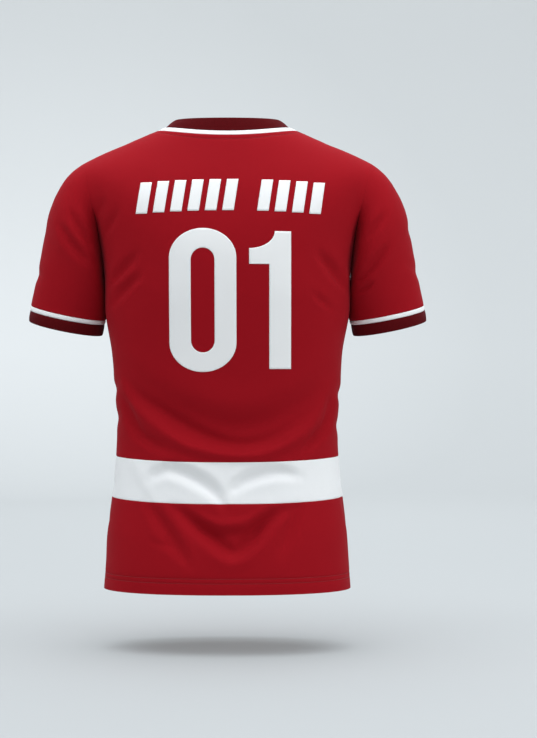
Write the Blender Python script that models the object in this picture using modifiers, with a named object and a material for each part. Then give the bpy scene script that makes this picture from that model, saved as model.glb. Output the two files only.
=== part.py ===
"""Short-sleeved football jersey, filled out as if worn, with no wearer inside.

Run with: blender --background --python part.py

Frame: metres, +Z up, the jersey faces -Y and its left sleeve is at +X. The origin is on the centre line
at the height of the neck points, where the wearer's shoulders carry the garment.

The torso is a stack of section rows that runs from the neck seam to the hem. Each row goes from the centre
line to an edge: the shoulder seam, then the armhole, then the side seam. A sleeve is a stack of rings that
starts on that armhole. Every panel is a grid of such points, given a wall by a Solidify modifier.
"""

import math

import bmesh
import bpy
import numpy as np
from mathutils import Vector
from mathutils.bvhtree import BVHTree

# ---------------------------------------------------------------- driving dimensions, metres
CLOTH = 0.0015  # wall of the knitted panels
RIB = 0.0022  # wall of the doubled collar and cuffs
SEAM_TRIM = 0.0003  # each panel stops this far short of its seams
SIDE_TRIM = 0.0004  # the same at the side seams, the lower armholes and the cuffs
NECK_TRIM = 0.0006  # the same at the neck seam, where the walls lean towards each other
SHOULDER_TRIM = 0.0010  # the same at the shoulder seams and over the shoulder tips
SHOULDER_ROWS = 8  # how many of a panel's rows, from the neck down, have that last trim
PRINT = 0.0006  # wall of the number and the bars above it
PRINT_LIFT = 0.0013  # from the back panel to the print's inner side

HALF_COLUMNS = 10  # grid columns from the centre line to an edge, and in a quarter of the collar
ARMHOLE_STEPS = 12  # grid rows along half of the armhole, and columns in half of a sleeve
WAIST_STEPS = 8  # grid rows from the pit to the band
BAND_STEPS = 2
HEM_STEPS = 4  # grid rows from the band to the hem
SLEEVE_STEPS = 6
ROW_SAMPLES = 120  # points worked out along half of a section row, before it is evened out

# Row numbers. The rows between them are sections of the same piece.
NECK, TIP, PIT, BAND_TOP, BAND_BOTTOM, HEM = 0, 4, 11, 16, 17, 20

# Shoulder seam: rows NECK to TIP.
SHOULDER = {
    "x": (0.1077, 0.1390, 0.1690, 0.1975, 0.2225),
    "z": (-0.0015, -0.0150, -0.0270, -0.0385, -0.0515),
}

# Side seam: rows PIT to HEM.
SIDE = {
    "x": (0.1900, 0.1883, 0.1790, 0.1747, 0.1705, 0.1722, 0.1780, 0.1853, 0.1872, 0.1903),
    "z": (-0.2370, -0.2840, -0.3400, -0.3950, -0.4500, -0.5040, -0.5664, -0.6150, -0.6600, -0.7070),
}

# By row: heights on the centre lines of the back and the front, and the shape of the section, where
# (x / half width) ^ flat + (y / depth) ^ blunt = 1.
ROWS = {
    "row": (0, 1, 2, 3, 4, 5, 6, 7, 8, 9, 10, 11, 12, 13, 14, 15, 16, 17, 18, 19, 20),
    "back_z": (
        -0.0145, -0.0430, -0.0720, -0.1010, -0.1300, -0.1495, -0.1680,
        -0.1865, -0.2050, -0.2230, -0.2410, -0.2590, -0.2970, -0.3500,
        -0.4030, -0.4560, -0.5103, -0.5723, -0.6180, -0.6610, -0.7070,
    ),
    "front_z": (
        -0.0860, -0.1080, -0.1300, -0.1510, -0.1710, -0.1860, -0.2000,
        -0.2135, -0.2265, -0.2395, -0.2525, -0.2655, -0.3000, -0.3510,
        -0.4030, -0.4555, -0.5090, -0.5710, -0.6170, -0.6605, -0.7070,
    ),
    "flat": (
        2.00, 2.10, 2.22, 2.34, 2.40, 2.26, 2.16, 2.26, 2.34, 2.36,
        2.36, 2.36, 2.36, 2.36, 2.36, 2.36, 2.36, 2.36, 2.34, 2.32, 2.30,
    ),
    "blunt": (
        2.00, 1.82, 1.68, 1.58, 1.52, 1.45, 1.44, 1.70, 1.95, 2.14,
        2.28, 2.36, 2.36, 2.36, 2.36, 2.36, 2.36, 2.36, 2.34, 2.32, 2.30,
    ),
}

# How far the back and the front stand from the plane of the seams, by height.
PROFILE = {
    "z": (
        0.000, -0.030, -0.060, -0.090, -0.130, -0.160, -0.190, -0.220, -0.260, -0.300,
        -0.350, -0.400, -0.450, -0.500, -0.540, -0.580, -0.620, -0.660, -0.707,
    ),
    "back": (
        0.061, 0.076, 0.090, 0.103, 0.1155, 0.1210, 0.1235, 0.1230, 0.1195, 0.1130,
        0.1050, 0.0985, 0.0940, 0.0935, 0.0975, 0.1045, 0.1125, 0.1185, 0.1220,
    ),
    "front": (
        0.055, 0.068, 0.083, 0.099, 0.1145, 0.1215, 0.1260, 0.1280, 0.1275, 0.1235,
        0.1170, 0.1120, 0.1095, 0.1090, 0.1100, 0.1125, 0.1155, 0.1175, 0.1180,
    ),
}

# Sleeve rings, from the armhole to the end of the cuff. at: distance along the outer line. outer, inner:
# the ring's highest and lowest point. mid_y: its middle. back, front: its half depths. drop: how much
# lower the back hangs. tuck, scoop: how the armhole folds in at the crease, forward and sideways.
SLEEVE = {
    "at": (0.0000, 0.0186, 0.0400, 0.0850, 0.1420, 0.1970, 0.2400, 0.2472, 0.2645),
    "outer_x": (0.2225, 0.2379, 0.2528, 0.2740, 0.2858, 0.2965, 0.3058, 0.3071, 0.3100),
    "outer_z": (-0.0515, -0.0620, -0.0790, -0.1200, -0.1740, -0.2280, -0.2705, -0.2775, -0.2945),
    "inner_x": (0.1900, 0.1921, 0.1935, 0.1930, 0.1922, 0.1912, 0.1914, 0.1930, 0.1962),
    "inner_z": (-0.2370, -0.2425, -0.2490, -0.2600, -0.2715, -0.2830, -0.2942, -0.3004, -0.3178),
    "mid_y": (0.0000, -0.0010, -0.0020, -0.0060, -0.0110, -0.0160, -0.0200, -0.0207, -0.0225),
    "back": (0.0680, 0.0670, 0.0660, 0.0650, 0.0615, 0.0580, 0.0555, 0.0555, 0.0550),
    "front": (0.0700, 0.0680, 0.0660, 0.0640, 0.0610, 0.0580, 0.0555, 0.0555, 0.0550),
    "drop": (0.0000, 0.0005, 0.0010, 0.0020, 0.0035, 0.0050, 0.0060, 0.0062, 0.0065),
    "tuck": (0.72, 0.38, 0.15, 0.02, 0.00, 0.00, 0.00, 0.00, 0.00),
    "scoop": (0.0060, 0.0040, 0.0018, 0.0000, 0.0000, 0.0000, 0.0000, 0.0000, 0.0000),
}
SLEEVE_END, STRIPE_END, CUFF_END = SLEEVE["at"][6:9]

# Collar rings above the neck seam: the top of the white stripe, the middle and the top of the rib.
COLLAR = {
    "side_x": (0.0955, 0.0882, 0.0815),
    "side_z": (0.0035, 0.0093, 0.0145),
    "back_y": (0.0612, 0.0575, 0.0545),
    "back_z": (-0.0076, 0.0024, 0.0122),
    "front_y": (0.0890, 0.0828, 0.0775),
    "front_z": (-0.0795, -0.0718, -0.0640),
}
SEAM_RING, STRIPE_RING, RIB_RING = 0, 1, 3
COLLAR_MIDDLE = (0.0, -0.0100, -0.0300)

# The largest folds. Each is a soft trough (depth above 0) or ridge (below 0) along a line between two
# points of the panel, as seen from its own side, that sags by sag in the middle.
FOLD_COLUMNS = ("panel", "x1", "z1", "x2", "z2", "sag", "width", "depth")
FOLDS = (
    ("back", 0.150, -0.400, -0.150, -0.425, 0.075, 0.019, 0.0085),
    ("back", 0.168, -0.375, -0.168, -0.390, 0.112, 0.017, -0.0060),
    ("back", 0.098, -0.572, -0.088, -0.572, 0.058, 0.020, 0.0100),
    ("back", 0.105, -0.520, 0.010, -0.560, -0.012, 0.013, 0.0035),
    ("back", -0.095, -0.520, 0.000, -0.560, -0.012, 0.013, 0.0035),
    ("back", 0.112, -0.585, 0.070, -0.655, 0.000, 0.015, 0.0040),
    ("front", 0.155, -0.395, -0.155, -0.385, 0.070, 0.020, 0.0075),
    ("front", 0.165, -0.365, -0.165, -0.355, 0.105, 0.018, -0.0050),
    ("front", 0.095, -0.570, -0.100, -0.578, 0.050, 0.020, 0.0080),
    ("front", -0.105, -0.590, -0.060, -0.655, 0.000, 0.016, 0.0040),
)
FOLD_SAMPLES = 24

# The number on the back. Each digit is drawn as an outline in its own box.
NUMBER_MIDDLE_Z = -0.2673
NUMBER_STROKE = 0.0325
ZERO_MIDDLE_X = 0.0345
ZERO_WIDTH = 0.1005
ZERO_HEIGHT = 0.2143
ZERO_END = 0.0440  # height of the rounded part at each end
ZERO_SLOT_END = 0.0180
END_STROKE = 0.9  # the zero's stroke at its ends, as a share of that at its sides
ONE_MIDDLE_X = -0.0810
ONE_HEIGHT = 0.2053
ONE_FLAG = 0.0300  # reach of the flag beyond the stem
FLAG_TOP = 0.0255  # from the top of the stem down to the flag's tip
FLAG_BOTTOM = 0.0490
FLAG_INSET = 0.25  # where the flag's upper edge meets the stem's top, as a share of the stem's width
PRINT_STEP = 0.0170  # the print is cut this fine, so that it follows the panel
END_POINTS = 13  # outline points round an end of the zero
FLAG_POINTS = 7  # outline points along the flag's upper edge
SAME_POINT = 1e-5  # points nearer than this are one
SHORT_EDGE = 2e-5  # an edge left shorter than this by the cutting is removed
STRAIGHT = 0.01  # an outline that turns by less than this, in radians, is straight
ABOVE_BACK = 1.0  # a height in y that is clear of the back, from which the print is laid down

# The row of plain slanted bars above the number: two groups with a space between them.
BAR_GROUPS = (6, 4)
BARS_MIDDLE_X = -0.0066
BAR_TOP = -0.0855
BAR_HEIGHT = 0.0478
BAR_WIDTH = 0.0172
BAR_PITCH = 0.0260
BAR_SLANT = 0.0070
BAR_ARCH = 0.0042  # how much lower the row's ends are than its middle

RED = (0.36, 0.012, 0.022, 1.0)
WHITE = (0.80, 0.80, 0.80, 1.0)
KNIT_ROUGHNESS = 0.70
RIB_ROUGHNESS = 0.80
MAROON = (0.10, 0.006, 0.012, 1.0)


# ---------------------------------------------------------------- curves through the tables
def smooth(at, knots, values):
    """Cubic curve through a table's column, read at each place in at."""
    knots, values, at = (np.asarray(a, float) for a in (knots, values, at))
    slopes = np.gradient(values, knots)
    i = np.clip(np.searchsorted(knots, at, side="right") - 1, 0, len(knots) - 2)
    span = knots[i + 1] - knots[i]
    u = (at - knots[i]) / span
    start = (1 + 2 * u) * (1 - u) ** 2 * values[i] + u * (1 - u) ** 2 * span * slopes[i]
    end = u**2 * (3 - 2 * u) * values[i + 1] + u**2 * (u - 1) * span * slopes[i + 1]
    return start + end


def evenly(points, count):
    """count + 1 points spaced evenly along the polyline through points."""
    steps = np.linalg.norm(np.diff(points, axis=0), axis=1)
    at = np.concatenate([[0.0], np.cumsum(steps)])
    wanted = np.linspace(0.0, at[-1], count + 1)
    return np.stack([np.interp(wanted, at, points[:, k]) for k in range(3)], axis=1)


def quarter(edge, centre_y, centre_z, flat=2.0, blunt=2.0):
    """Points of one section row, from its centre line to its edge, as part of a superellipse."""
    edge_x, edge_y, edge_z = edge
    last = math.acos(abs(edge_y / centre_y) ** (blunt / 2))
    angle = np.linspace(0.0, last, ROW_SAMPLES)
    reach = edge_x / math.sin(last) ** (2 / flat)
    x = reach * np.sin(angle) ** (2 / flat)
    y = centre_y * np.cos(angle).clip(0.0) ** (2 / blunt)
    z = edge_z + (centre_z - edge_z) * ((y - edge_y) / (centre_y - edge_y)) ** 2
    return evenly(np.stack([x, y, z], axis=1), HALF_COLUMNS)


def half_row(edge, centre_y, centre_z, flat=2.0, blunt=2.0):
    """Points of one section row, from its right edge to its left one."""
    left = quarter(edge, centre_y, centre_z, flat, blunt)
    return np.concatenate([left[:0:-1] * (-1, 1, 1), left])


# ---------------------------------------------------------------- the torso
def armhole(turn):
    """Point of the left armhole. turn is 0 at the shoulder tip, a quarter at the back, a half at the pit."""
    return sleeve_ring(0.0, np.array([turn]))[0]


def edge_of(row, side):
    """The seam point at the edge of a section row. side is 1 on the back and -1 on the front."""
    if row <= TIP:
        x, z = (smooth(row, range(TIP + 1), SHOULDER[key]) for key in ("x", "z"))
        return np.array([x, 0.0, z])
    if row < PIT:
        half_turn = 0.5 * (row - TIP) / (PIT - TIP)
        return armhole(half_turn if side > 0 else 1.0 - half_turn)
    x, z = (smooth(row, range(PIT, HEM + 1), SIDE[key]) for key in ("x", "z"))
    return np.array([x, 0.0, z])


def section_row(row, side):
    """One section row of the back or the front, from the right edge to the left one."""
    name = "back" if side > 0 else "front"
    keys = (name + "_z", "flat", "blunt")
    centre_z, flat, blunt = (float(smooth(row, ROWS["row"], ROWS[key])) for key in keys)
    depth = float(smooth(-centre_z, -np.array(PROFILE["z"]), PROFILE[name]))
    return half_row(edge_of(row, side), side * depth, centre_z, flat, blunt)


def fold_depth(panel, points):
    """How far the folds of a panel push each of its points inwards."""
    depth = np.zeros(len(points))
    share = np.linspace(0.0, 1.0, FOLD_SAMPLES)
    for row in FOLDS:
        fold = dict(zip(FOLD_COLUMNS, row))
        if fold["panel"] != panel:
            continue
        line_x = fold["x1"] + (fold["x2"] - fold["x1"]) * share
        line_z = fold["z1"] + (fold["z2"] - fold["z1"]) * share
        line_z = line_z - fold["sag"] * 4 * share * (1 - share)
        away = np.hypot(points[:, :1] - line_x, points[:, 2:] - line_z)
        nearest = away.argmin(axis=1)
        fade = np.sin(math.pi * share[nearest]) ** 0.5
        depth += fold["depth"] * fade * np.exp(-((away.min(axis=1) / fold["width"]) ** 2))
    return depth


def torso_grid(first, last, steps, side):
    """Grid of points of the back or the front between two rows."""
    rows = np.linspace(first, last, steps + 1)
    grid = np.array([section_row(row, side) for row in rows])
    flat = grid.reshape(-1, 3)
    panel = "back" if side > 0 else "front"
    push = fold_depth(panel, flat)
    inwards = flat * (-1, -1, 0) / np.linalg.norm(flat[:, :2], axis=1)[:, None]
    return (flat + inwards * push[:, None]).reshape(grid.shape)


# ---------------------------------------------------------------- the sleeves and the collar
def sleeve_ring(at, turns):
    """Points of a sleeve ring at a distance from the shoulder tip, at shares of a turn from its top."""
    ring = {key: float(smooth(at, SLEEVE["at"], SLEEVE[key])) for key in SLEEVE if key != "at"}
    angle = 2 * math.pi * np.asarray(turns)
    across, around = np.cos(angle), np.sin(angle)
    depth = np.where(around > 0, ring["back"], ring["front"])
    depth = depth * (1 - ring["tuck"] * (1 - across) / 2)
    middle_x, reach_x = (ring["outer_x"] + ring["inner_x"]) / 2, (ring["outer_x"] - ring["inner_x"]) / 2
    middle_z, reach_z = (ring["outer_z"] + ring["inner_z"]) / 2, (ring["outer_z"] - ring["inner_z"]) / 2
    x = middle_x + reach_x * across - ring["scoop"] * around**2
    y = ring["mid_y"] + depth * around
    z = middle_z + reach_z * across - ring["drop"] * around
    return np.stack([x, y, z], axis=1)


def sleeve_grid(first, last, steps):
    """Grid of points round the left sleeve between two distances from the shoulder tip."""
    turns = np.linspace(0.0, 1.0, 2 * ARMHOLE_STEPS + 1)[:-1]
    return np.array([sleeve_ring(at, turns) for at in np.linspace(first, last, steps + 1)])


def collar_ring(k):
    """Points round one ring of the collar. The lowest ring is the neck edge of the two panels."""
    if k == SEAM_RING:
        back, front = section_row(NECK, 1), section_row(NECK, -1)
    else:
        ring = {key: column[k - 1] for key, column in COLLAR.items()}
        edge = (ring["side_x"], 0.0, ring["side_z"])
        back = half_row(edge, ring["back_y"], ring["back_z"])
        front = half_row(edge, -ring["front_y"], ring["front_z"])
    return np.concatenate([back, front[-2:0:-1]])


def collar_grid(first, last):
    """Grid of points round the collar between two of its rings."""
    return np.array([collar_ring(k) for k in range(first, last + 1)])


# ---------------------------------------------------------------- making the objects
def clear_scene():
    for obj in list(bpy.data.objects):
        bpy.data.objects.remove(obj)


def material(name, colour, roughness):
    made = bpy.data.materials.new(name)
    made.use_nodes = True
    shader = made.node_tree.nodes["Principled BSDF"]
    shader.inputs["Base Color"].default_value = colour
    shader.inputs["Roughness"].default_value = roughness
    shader.inputs["Metallic"].default_value = 0.0
    return made


def drawn_in(line, neighbour, trim, closed=False):
    """A grid's border moved square to itself, towards the next line of points."""
    around = np.concatenate([line[-1:], line, line[:1]]) if closed else line
    along = np.gradient(around, axis=0)
    along = along[1:-1] if closed else along
    along = along / np.linalg.norm(along, axis=1)[:, None]
    towards = neighbour - line
    towards = towards - along * (towards * along).sum(axis=1)[:, None]
    return line + towards / np.linalg.norm(towards, axis=1)[:, None] * trim


def trimmed(grid, trims, closed, shoulder_rows=0):
    """The grid with its borders drawn in, so that neighbouring panels don't touch at a seam. trims: of
    the first and of the last row."""
    grid = grid.copy()
    first = drawn_in(grid[0], grid[1], trims[0], closed)
    last = drawn_in(grid[-1], grid[-2], trims[1], closed)
    grid[0], grid[-1] = first, last
    if not closed:
        at_side = np.full((len(grid), 1), SIDE_TRIM)
        at_side[:shoulder_rows] = SHOULDER_TRIM
        right = drawn_in(grid[:, 0], grid[:, 1], at_side)
        left = drawn_in(grid[:, -1], grid[:, -2], at_side)
        grid[:, 0], grid[:, -1] = right, left
    return grid


def facing_out(bm, middle):
    """Turns the faces round if most of them look towards the middle of their piece."""
    outwards = sum((f.calc_center_median() - middle).dot(f.normal) * f.calc_area() for f in bm.faces)
    if outwards < 0:
        bmesh.ops.reverse_faces(bm, faces=bm.faces[:])


def panel_object(
    name, grid, wall, finish, trims=(SEAM_TRIM, SEAM_TRIM), closed=False, middle=None, shoulder_rows=0
):
    """A grid of outer points as a walled object. closed: the grid's columns meet round a tube. middle: a
    point inside the piece."""
    grid = trimmed(grid, trims, closed, shoulder_rows)
    rows, columns, _ = grid.shape
    bm = bmesh.new()
    verts = [[bm.verts.new(point) for point in row] for row in grid]
    for i in range(rows - 1):
        for j in range(columns if closed else columns - 1):
            k = (j + 1) % columns
            bm.faces.new((verts[i][j], verts[i][k], verts[i + 1][k], verts[i + 1][j]))
    bm.normal_update()
    facing_out(bm, Vector((0.0, 0.0, grid[..., 2].mean()) if middle is None else middle))
    mesh = bpy.data.meshes.new(name)
    bm.to_mesh(mesh)
    bm.free()
    return walled_object(name, mesh, wall, finish)


def walled_object(name, mesh, wall, finish):
    mesh.materials.append(finish)
    mesh.shade_smooth()
    obj = bpy.data.objects.new(name, mesh)
    jersey.objects.link(obj)
    shell = obj.modifiers.new("wall", "SOLIDIFY")
    shell.thickness = wall
    shell.offset = -1.0
    return obj


def torso_panels(side):
    """The upper panel, the band and the lower panel of the back or the front."""
    name = "back" if side > 0 else "front"
    upper_rows = [
        torso_grid(NECK, TIP, TIP - NECK, side),
        torso_grid(TIP, PIT, ARMHOLE_STEPS, side)[1:],
        torso_grid(PIT, BAND_TOP, WAIST_STEPS, side)[1:],
    ]
    upper = np.concatenate(upper_rows)
    band = torso_grid(BAND_TOP, BAND_BOTTOM, BAND_STEPS, side)
    lower = torso_grid(BAND_BOTTOM, HEM, HEM_STEPS, side)
    trims = (NECK_TRIM, SEAM_TRIM)
    made = panel_object(name + "_upper", upper, CLOTH, red, trims, shoulder_rows=SHOULDER_ROWS)
    panel_object(name + "_band", band, CLOTH, white)
    panel_object(name + "_lower", lower, CLOTH, red)
    return made


def sleeves():
    """Both sleeves, each with its white stripe and its cuff. The right one mirrors the left one."""
    for word, mirror in (("left", (1, 1, 1)), ("right", (-1, 1, 1))):
        pieces = (
            ("sleeve_" + word, sleeve_grid(0.0, SLEEVE_END, SLEEVE_STEPS), CLOTH, red),
            ("cuff_stripe_" + word, sleeve_grid(SLEEVE_END, STRIPE_END, 1), CLOTH, white),
            ("cuff_" + word, sleeve_grid(STRIPE_END, CUFF_END, 1), RIB, maroon),
        )
        for name, grid, wall, finish in pieces:
            grid = grid * mirror
            first = SHOULDER_TRIM if finish is red else SIDE_TRIM
            middle = grid.reshape(-1, 3).mean(axis=0)
            panel_object(name, grid, wall, finish, (first, SIDE_TRIM), True, middle)


def collar():
    stripe, rib = collar_grid(SEAM_RING, STRIPE_RING), collar_grid(STRIPE_RING, RIB_RING)
    panel_object("collar_stripe", stripe, CLOTH, white, (NECK_TRIM, SEAM_TRIM), True, COLLAR_MIDDLE)
    panel_object("collar", rib, RIB, maroon, closed=True, middle=COLLAR_MIDDLE)


# ---------------------------------------------------------------- the print on the back
def slot_outline(middle_x, middle_z, width, height, end):
    """Outline with straight sides and half-elliptical ends, such as the outside of a zero."""
    arc = np.linspace(0.0, math.pi, END_POINTS)
    x, z = width / 2 * np.cos(arc), end * np.sin(arc)
    top = [(middle_x + a, middle_z + height / 2 - end + b) for a, b in zip(x, z)]
    bottom = [(middle_x - a, middle_z - height / 2 + end - b) for a, b in zip(x, z)]
    return top + bottom


def zero_outlines():
    slot_width = ZERO_WIDTH - 2 * NUMBER_STROKE
    slot_height = ZERO_HEIGHT - 2 * END_STROKE * NUMBER_STROKE
    outside = slot_outline(ZERO_MIDDLE_X, NUMBER_MIDDLE_Z, ZERO_WIDTH, ZERO_HEIGHT, ZERO_END)
    inside = slot_outline(ZERO_MIDDLE_X, NUMBER_MIDDLE_Z, slot_width, slot_height, ZERO_SLOT_END)
    return [outside, inside]


def one_outlines():
    """The stem and its flag, whose upper edge hollows as it climbs to the stem. It is read from behind,
    so the flag points to the jersey's left, at +X."""
    left, right = ONE_MIDDLE_X + NUMBER_STROKE / 2, ONE_MIDDLE_X - NUMBER_STROKE / 2
    top, foot = NUMBER_MIDDLE_Z + ONE_HEIGHT / 2, NUMBER_MIDDLE_Z - ONE_HEIGHT / 2
    meeting = left - FLAG_INSET * NUMBER_STROKE
    tip = left + ONE_FLAG
    arc = np.linspace(0.0, math.pi / 2, FLAG_POINTS)
    flag = zip(tip - (tip - meeting) * np.sin(arc), top - FLAG_TOP * np.cos(arc))
    body = [(right, top), (right, foot), (left, foot), (left, top - FLAG_BOTTOM)]
    return [body + [(tip, top - FLAG_BOTTOM), *flag]]


def bar_outlines(from_middle):
    """A slanted bar. The row arches a little, so bars away from the middle sit lower."""
    half = sum(BAR_GROUPS) * BAR_PITCH / 2
    top = BAR_TOP - BAR_ARCH * (from_middle / half) ** 2
    middle_x = BARS_MIDDLE_X + from_middle
    x0, x1 = middle_x - BAR_WIDTH / 2, middle_x + BAR_WIDTH / 2
    lean = BAR_SLANT / 2
    low = top - BAR_HEIGHT
    return [[(x0 - lean, top), (x1 - lean, top), (x1 + lean, low), (x0 + lean, low)]]


def flat_mesh(name, outlines):
    """A filled flat shape in the plane y = 0, from its outline and its holes."""
    curve = bpy.data.curves.new(name, "CURVE")
    curve.dimensions = "2D"
    curve.fill_mode = "BOTH"
    for outline in outlines:
        spline = curve.splines.new("POLY")
        spline.points.add(len(outline) - 1)
        for point, (x, z) in zip(spline.points, outline):
            point.co = (x, z, 0.0, 1.0)
        spline.use_cyclic_u = True
    holder = bpy.data.objects.new(name, curve)
    bpy.context.scene.collection.objects.link(holder)
    graph = bpy.context.evaluated_depsgraph_get()
    mesh = bpy.data.meshes.new_from_object(holder.evaluated_get(graph))
    bpy.data.objects.remove(holder)
    for vert in mesh.vertices:
        vert.co = (vert.co.x, 0.0, vert.co.y)
    return mesh


def printed_object(name, outlines, panel_tree, finish):
    """A flat shape cut into small cells and laid on the back panel."""
    mesh = flat_mesh(name, outlines)
    bm = bmesh.new()
    bm.from_mesh(mesh)
    bmesh.ops.remove_doubles(bm, verts=bm.verts[:], dist=SAME_POINT)
    bmesh.ops.dissolve_limit(bm, angle_limit=STRAIGHT, verts=bm.verts[:], edges=bm.edges[:])
    points = np.array([v.co for v in bm.verts])
    for axis, normal in ((0, (1, 0, 0)), (2, (0, 0, 1))):
        low, high = points[:, axis].min(), points[:, axis].max()
        cells = max(1, math.ceil((high - low) / PRINT_STEP))
        for k in range(1, cells):
            place = Vector(normal) * (low + (high - low) * k / cells)
            everything = bm.verts[:] + bm.edges[:] + bm.faces[:]
            bmesh.ops.bisect_plane(bm, geom=everything, dist=SAME_POINT, plane_co=place, plane_no=normal)
    bmesh.ops.triangulate(bm, faces=bm.faces[:])
    bmesh.ops.dissolve_degenerate(bm, edges=bm.edges[:], dist=SHORT_EDGE)
    for vert in bm.verts:
        start = Vector((vert.co.x, ABOVE_BACK, vert.co.z))
        place, normal, _, _ = panel_tree.ray_cast(start, Vector((0, -1, 0)))
        vert.co = place + normal * (PRINT_LIFT + PRINT)
    bm.normal_update()
    facing_out(bm, Vector((0.0, 0.0, points[:, 2].mean())))
    bm.to_mesh(mesh)
    bm.free()
    return walled_object(name, mesh, PRINT, finish)


def back_print(back):
    """The number and the row of bars, laid on the outer side of the back panel."""
    bm = bmesh.new()
    bm.from_mesh(back.data)
    tree = BVHTree.FromBMesh(bm)
    bm.free()
    printed_object("number_zero", zero_outlines(), tree, white)
    printed_object("number_one", one_outlines(), tree, white)
    last = sum(BAR_GROUPS)
    places = [place for place in range(last + 1) if place != BAR_GROUPS[0]]
    for number, place in enumerate(places, 1):
        from_middle = (last / 2 - place) * BAR_PITCH
        printed_object(f"name_bar_{number:02d}", bar_outlines(from_middle), tree, white)


clear_scene()
jersey = bpy.data.collections.new("football_jersey")
bpy.context.scene.collection.children.link(jersey)
red = material("red_knit", RED, KNIT_ROUGHNESS)
white = material("white_knit", WHITE, KNIT_ROUGHNESS)
maroon = material("maroon_rib", MAROON, RIB_ROUGHNESS)

back_upper = torso_panels(1)
torso_panels(-1)
sleeves()
collar()
back_print(back_upper)
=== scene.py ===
"""Looks of the football jersey: thin knitted cloth with folds, ribbed collar and cuffs, print and stitches.

Every surface is worked out from the same section rows as the CAD part, then folded, given a wall and
sewn. Metres, +Z up. The jersey faces -Y, its left sleeve is at +X, and the camera stands behind it, at +Y.
"""

import math

import bmesh
import bpy
import numpy as np
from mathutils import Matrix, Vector, noise
from mathutils.bvhtree import BVHTree


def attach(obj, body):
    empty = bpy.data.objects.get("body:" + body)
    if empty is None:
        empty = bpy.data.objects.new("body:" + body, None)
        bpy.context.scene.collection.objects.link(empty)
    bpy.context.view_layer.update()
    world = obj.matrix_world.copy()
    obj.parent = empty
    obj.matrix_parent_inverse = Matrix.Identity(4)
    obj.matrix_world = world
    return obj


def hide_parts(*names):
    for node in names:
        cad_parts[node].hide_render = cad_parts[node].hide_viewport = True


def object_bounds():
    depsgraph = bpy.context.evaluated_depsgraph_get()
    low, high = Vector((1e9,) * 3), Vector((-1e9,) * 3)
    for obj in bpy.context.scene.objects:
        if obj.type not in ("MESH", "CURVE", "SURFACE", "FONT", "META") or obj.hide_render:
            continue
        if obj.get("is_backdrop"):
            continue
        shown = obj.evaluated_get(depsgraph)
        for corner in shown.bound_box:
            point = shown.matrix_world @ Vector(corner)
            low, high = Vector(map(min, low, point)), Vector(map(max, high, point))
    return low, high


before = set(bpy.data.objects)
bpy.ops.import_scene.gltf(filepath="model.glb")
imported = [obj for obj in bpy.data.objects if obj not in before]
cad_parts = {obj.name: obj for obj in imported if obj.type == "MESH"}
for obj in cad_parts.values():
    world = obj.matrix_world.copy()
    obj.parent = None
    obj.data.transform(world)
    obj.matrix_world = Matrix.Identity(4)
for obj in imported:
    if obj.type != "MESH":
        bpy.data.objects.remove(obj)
cad_low, cad_high = (np.array(corner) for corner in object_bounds())

# ---------------------------------------------------------------- the jersey's form, as in the CAD part
# Row numbers of the torso. The rows between them are sections of the same piece.
NECK, TIP, PIT, BAND_TOP, BAND_BOTTOM, HEM = 0, 4, 11, 16, 17, 20

# Shoulder seam: rows NECK to TIP.
SHOULDER = {
    "x": (0.1077, 0.1390, 0.1690, 0.1975, 0.2225),
    "z": (-0.0015, -0.0150, -0.0270, -0.0385, -0.0515),
}

# Side seam: rows PIT to HEM.
SIDE = {
    "x": (0.1900, 0.1883, 0.1790, 0.1747, 0.1705, 0.1722, 0.1780, 0.1853, 0.1872, 0.1903),
    "z": (-0.2370, -0.2840, -0.3400, -0.3950, -0.4500, -0.5040, -0.5664, -0.6150, -0.6600, -0.7070),
}

# By row: heights on the centre lines of the back and the front, and the shape of the section, where
# (x / half width) ^ flat + (y / depth) ^ blunt = 1.
ROWS = {
    "back_z": (
        -0.0145, -0.0430, -0.0720, -0.1010, -0.1300, -0.1495, -0.1680,
        -0.1865, -0.2050, -0.2230, -0.2410, -0.2590, -0.2970, -0.3500,
        -0.4030, -0.4560, -0.5103, -0.5723, -0.6180, -0.6610, -0.7070,
    ),
    "front_z": (
        -0.0860, -0.1080, -0.1300, -0.1510, -0.1710, -0.1860, -0.2000,
        -0.2135, -0.2265, -0.2395, -0.2525, -0.2655, -0.3000, -0.3510,
        -0.4030, -0.4555, -0.5090, -0.5710, -0.6170, -0.6605, -0.7070,
    ),
    "flat": (
        2.00, 2.10, 2.22, 2.34, 2.40, 2.26, 2.16, 2.26, 2.34, 2.36,
        2.36, 2.36, 2.36, 2.36, 2.36, 2.36, 2.36, 2.36, 2.34, 2.32, 2.30,
    ),
    "blunt": (
        2.00, 1.82, 1.68, 1.58, 1.52, 1.45, 1.44, 1.70, 1.95, 2.14,
        2.28, 2.36, 2.36, 2.36, 2.36, 2.36, 2.36, 2.36, 2.34, 2.32, 2.30,
    ),
}

# How far the back and the front stand from the plane of the seams, by height.
PROFILE = {
    "z": (
        0.000, -0.030, -0.060, -0.090, -0.130, -0.160, -0.190, -0.220, -0.260, -0.300,
        -0.350, -0.400, -0.450, -0.500, -0.540, -0.580, -0.620, -0.660, -0.707,
    ),
    "back": (
        0.061, 0.076, 0.090, 0.103, 0.1155, 0.1210, 0.1235, 0.1230, 0.1195, 0.1130,
        0.1050, 0.0985, 0.0940, 0.0935, 0.0975, 0.1045, 0.1125, 0.1185, 0.1220,
    ),
    "front": (
        0.055, 0.068, 0.083, 0.099, 0.1145, 0.1215, 0.1260, 0.1280, 0.1275, 0.1235,
        0.1170, 0.1120, 0.1095, 0.1090, 0.1100, 0.1125, 0.1155, 0.1175, 0.1180,
    ),
}

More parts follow.
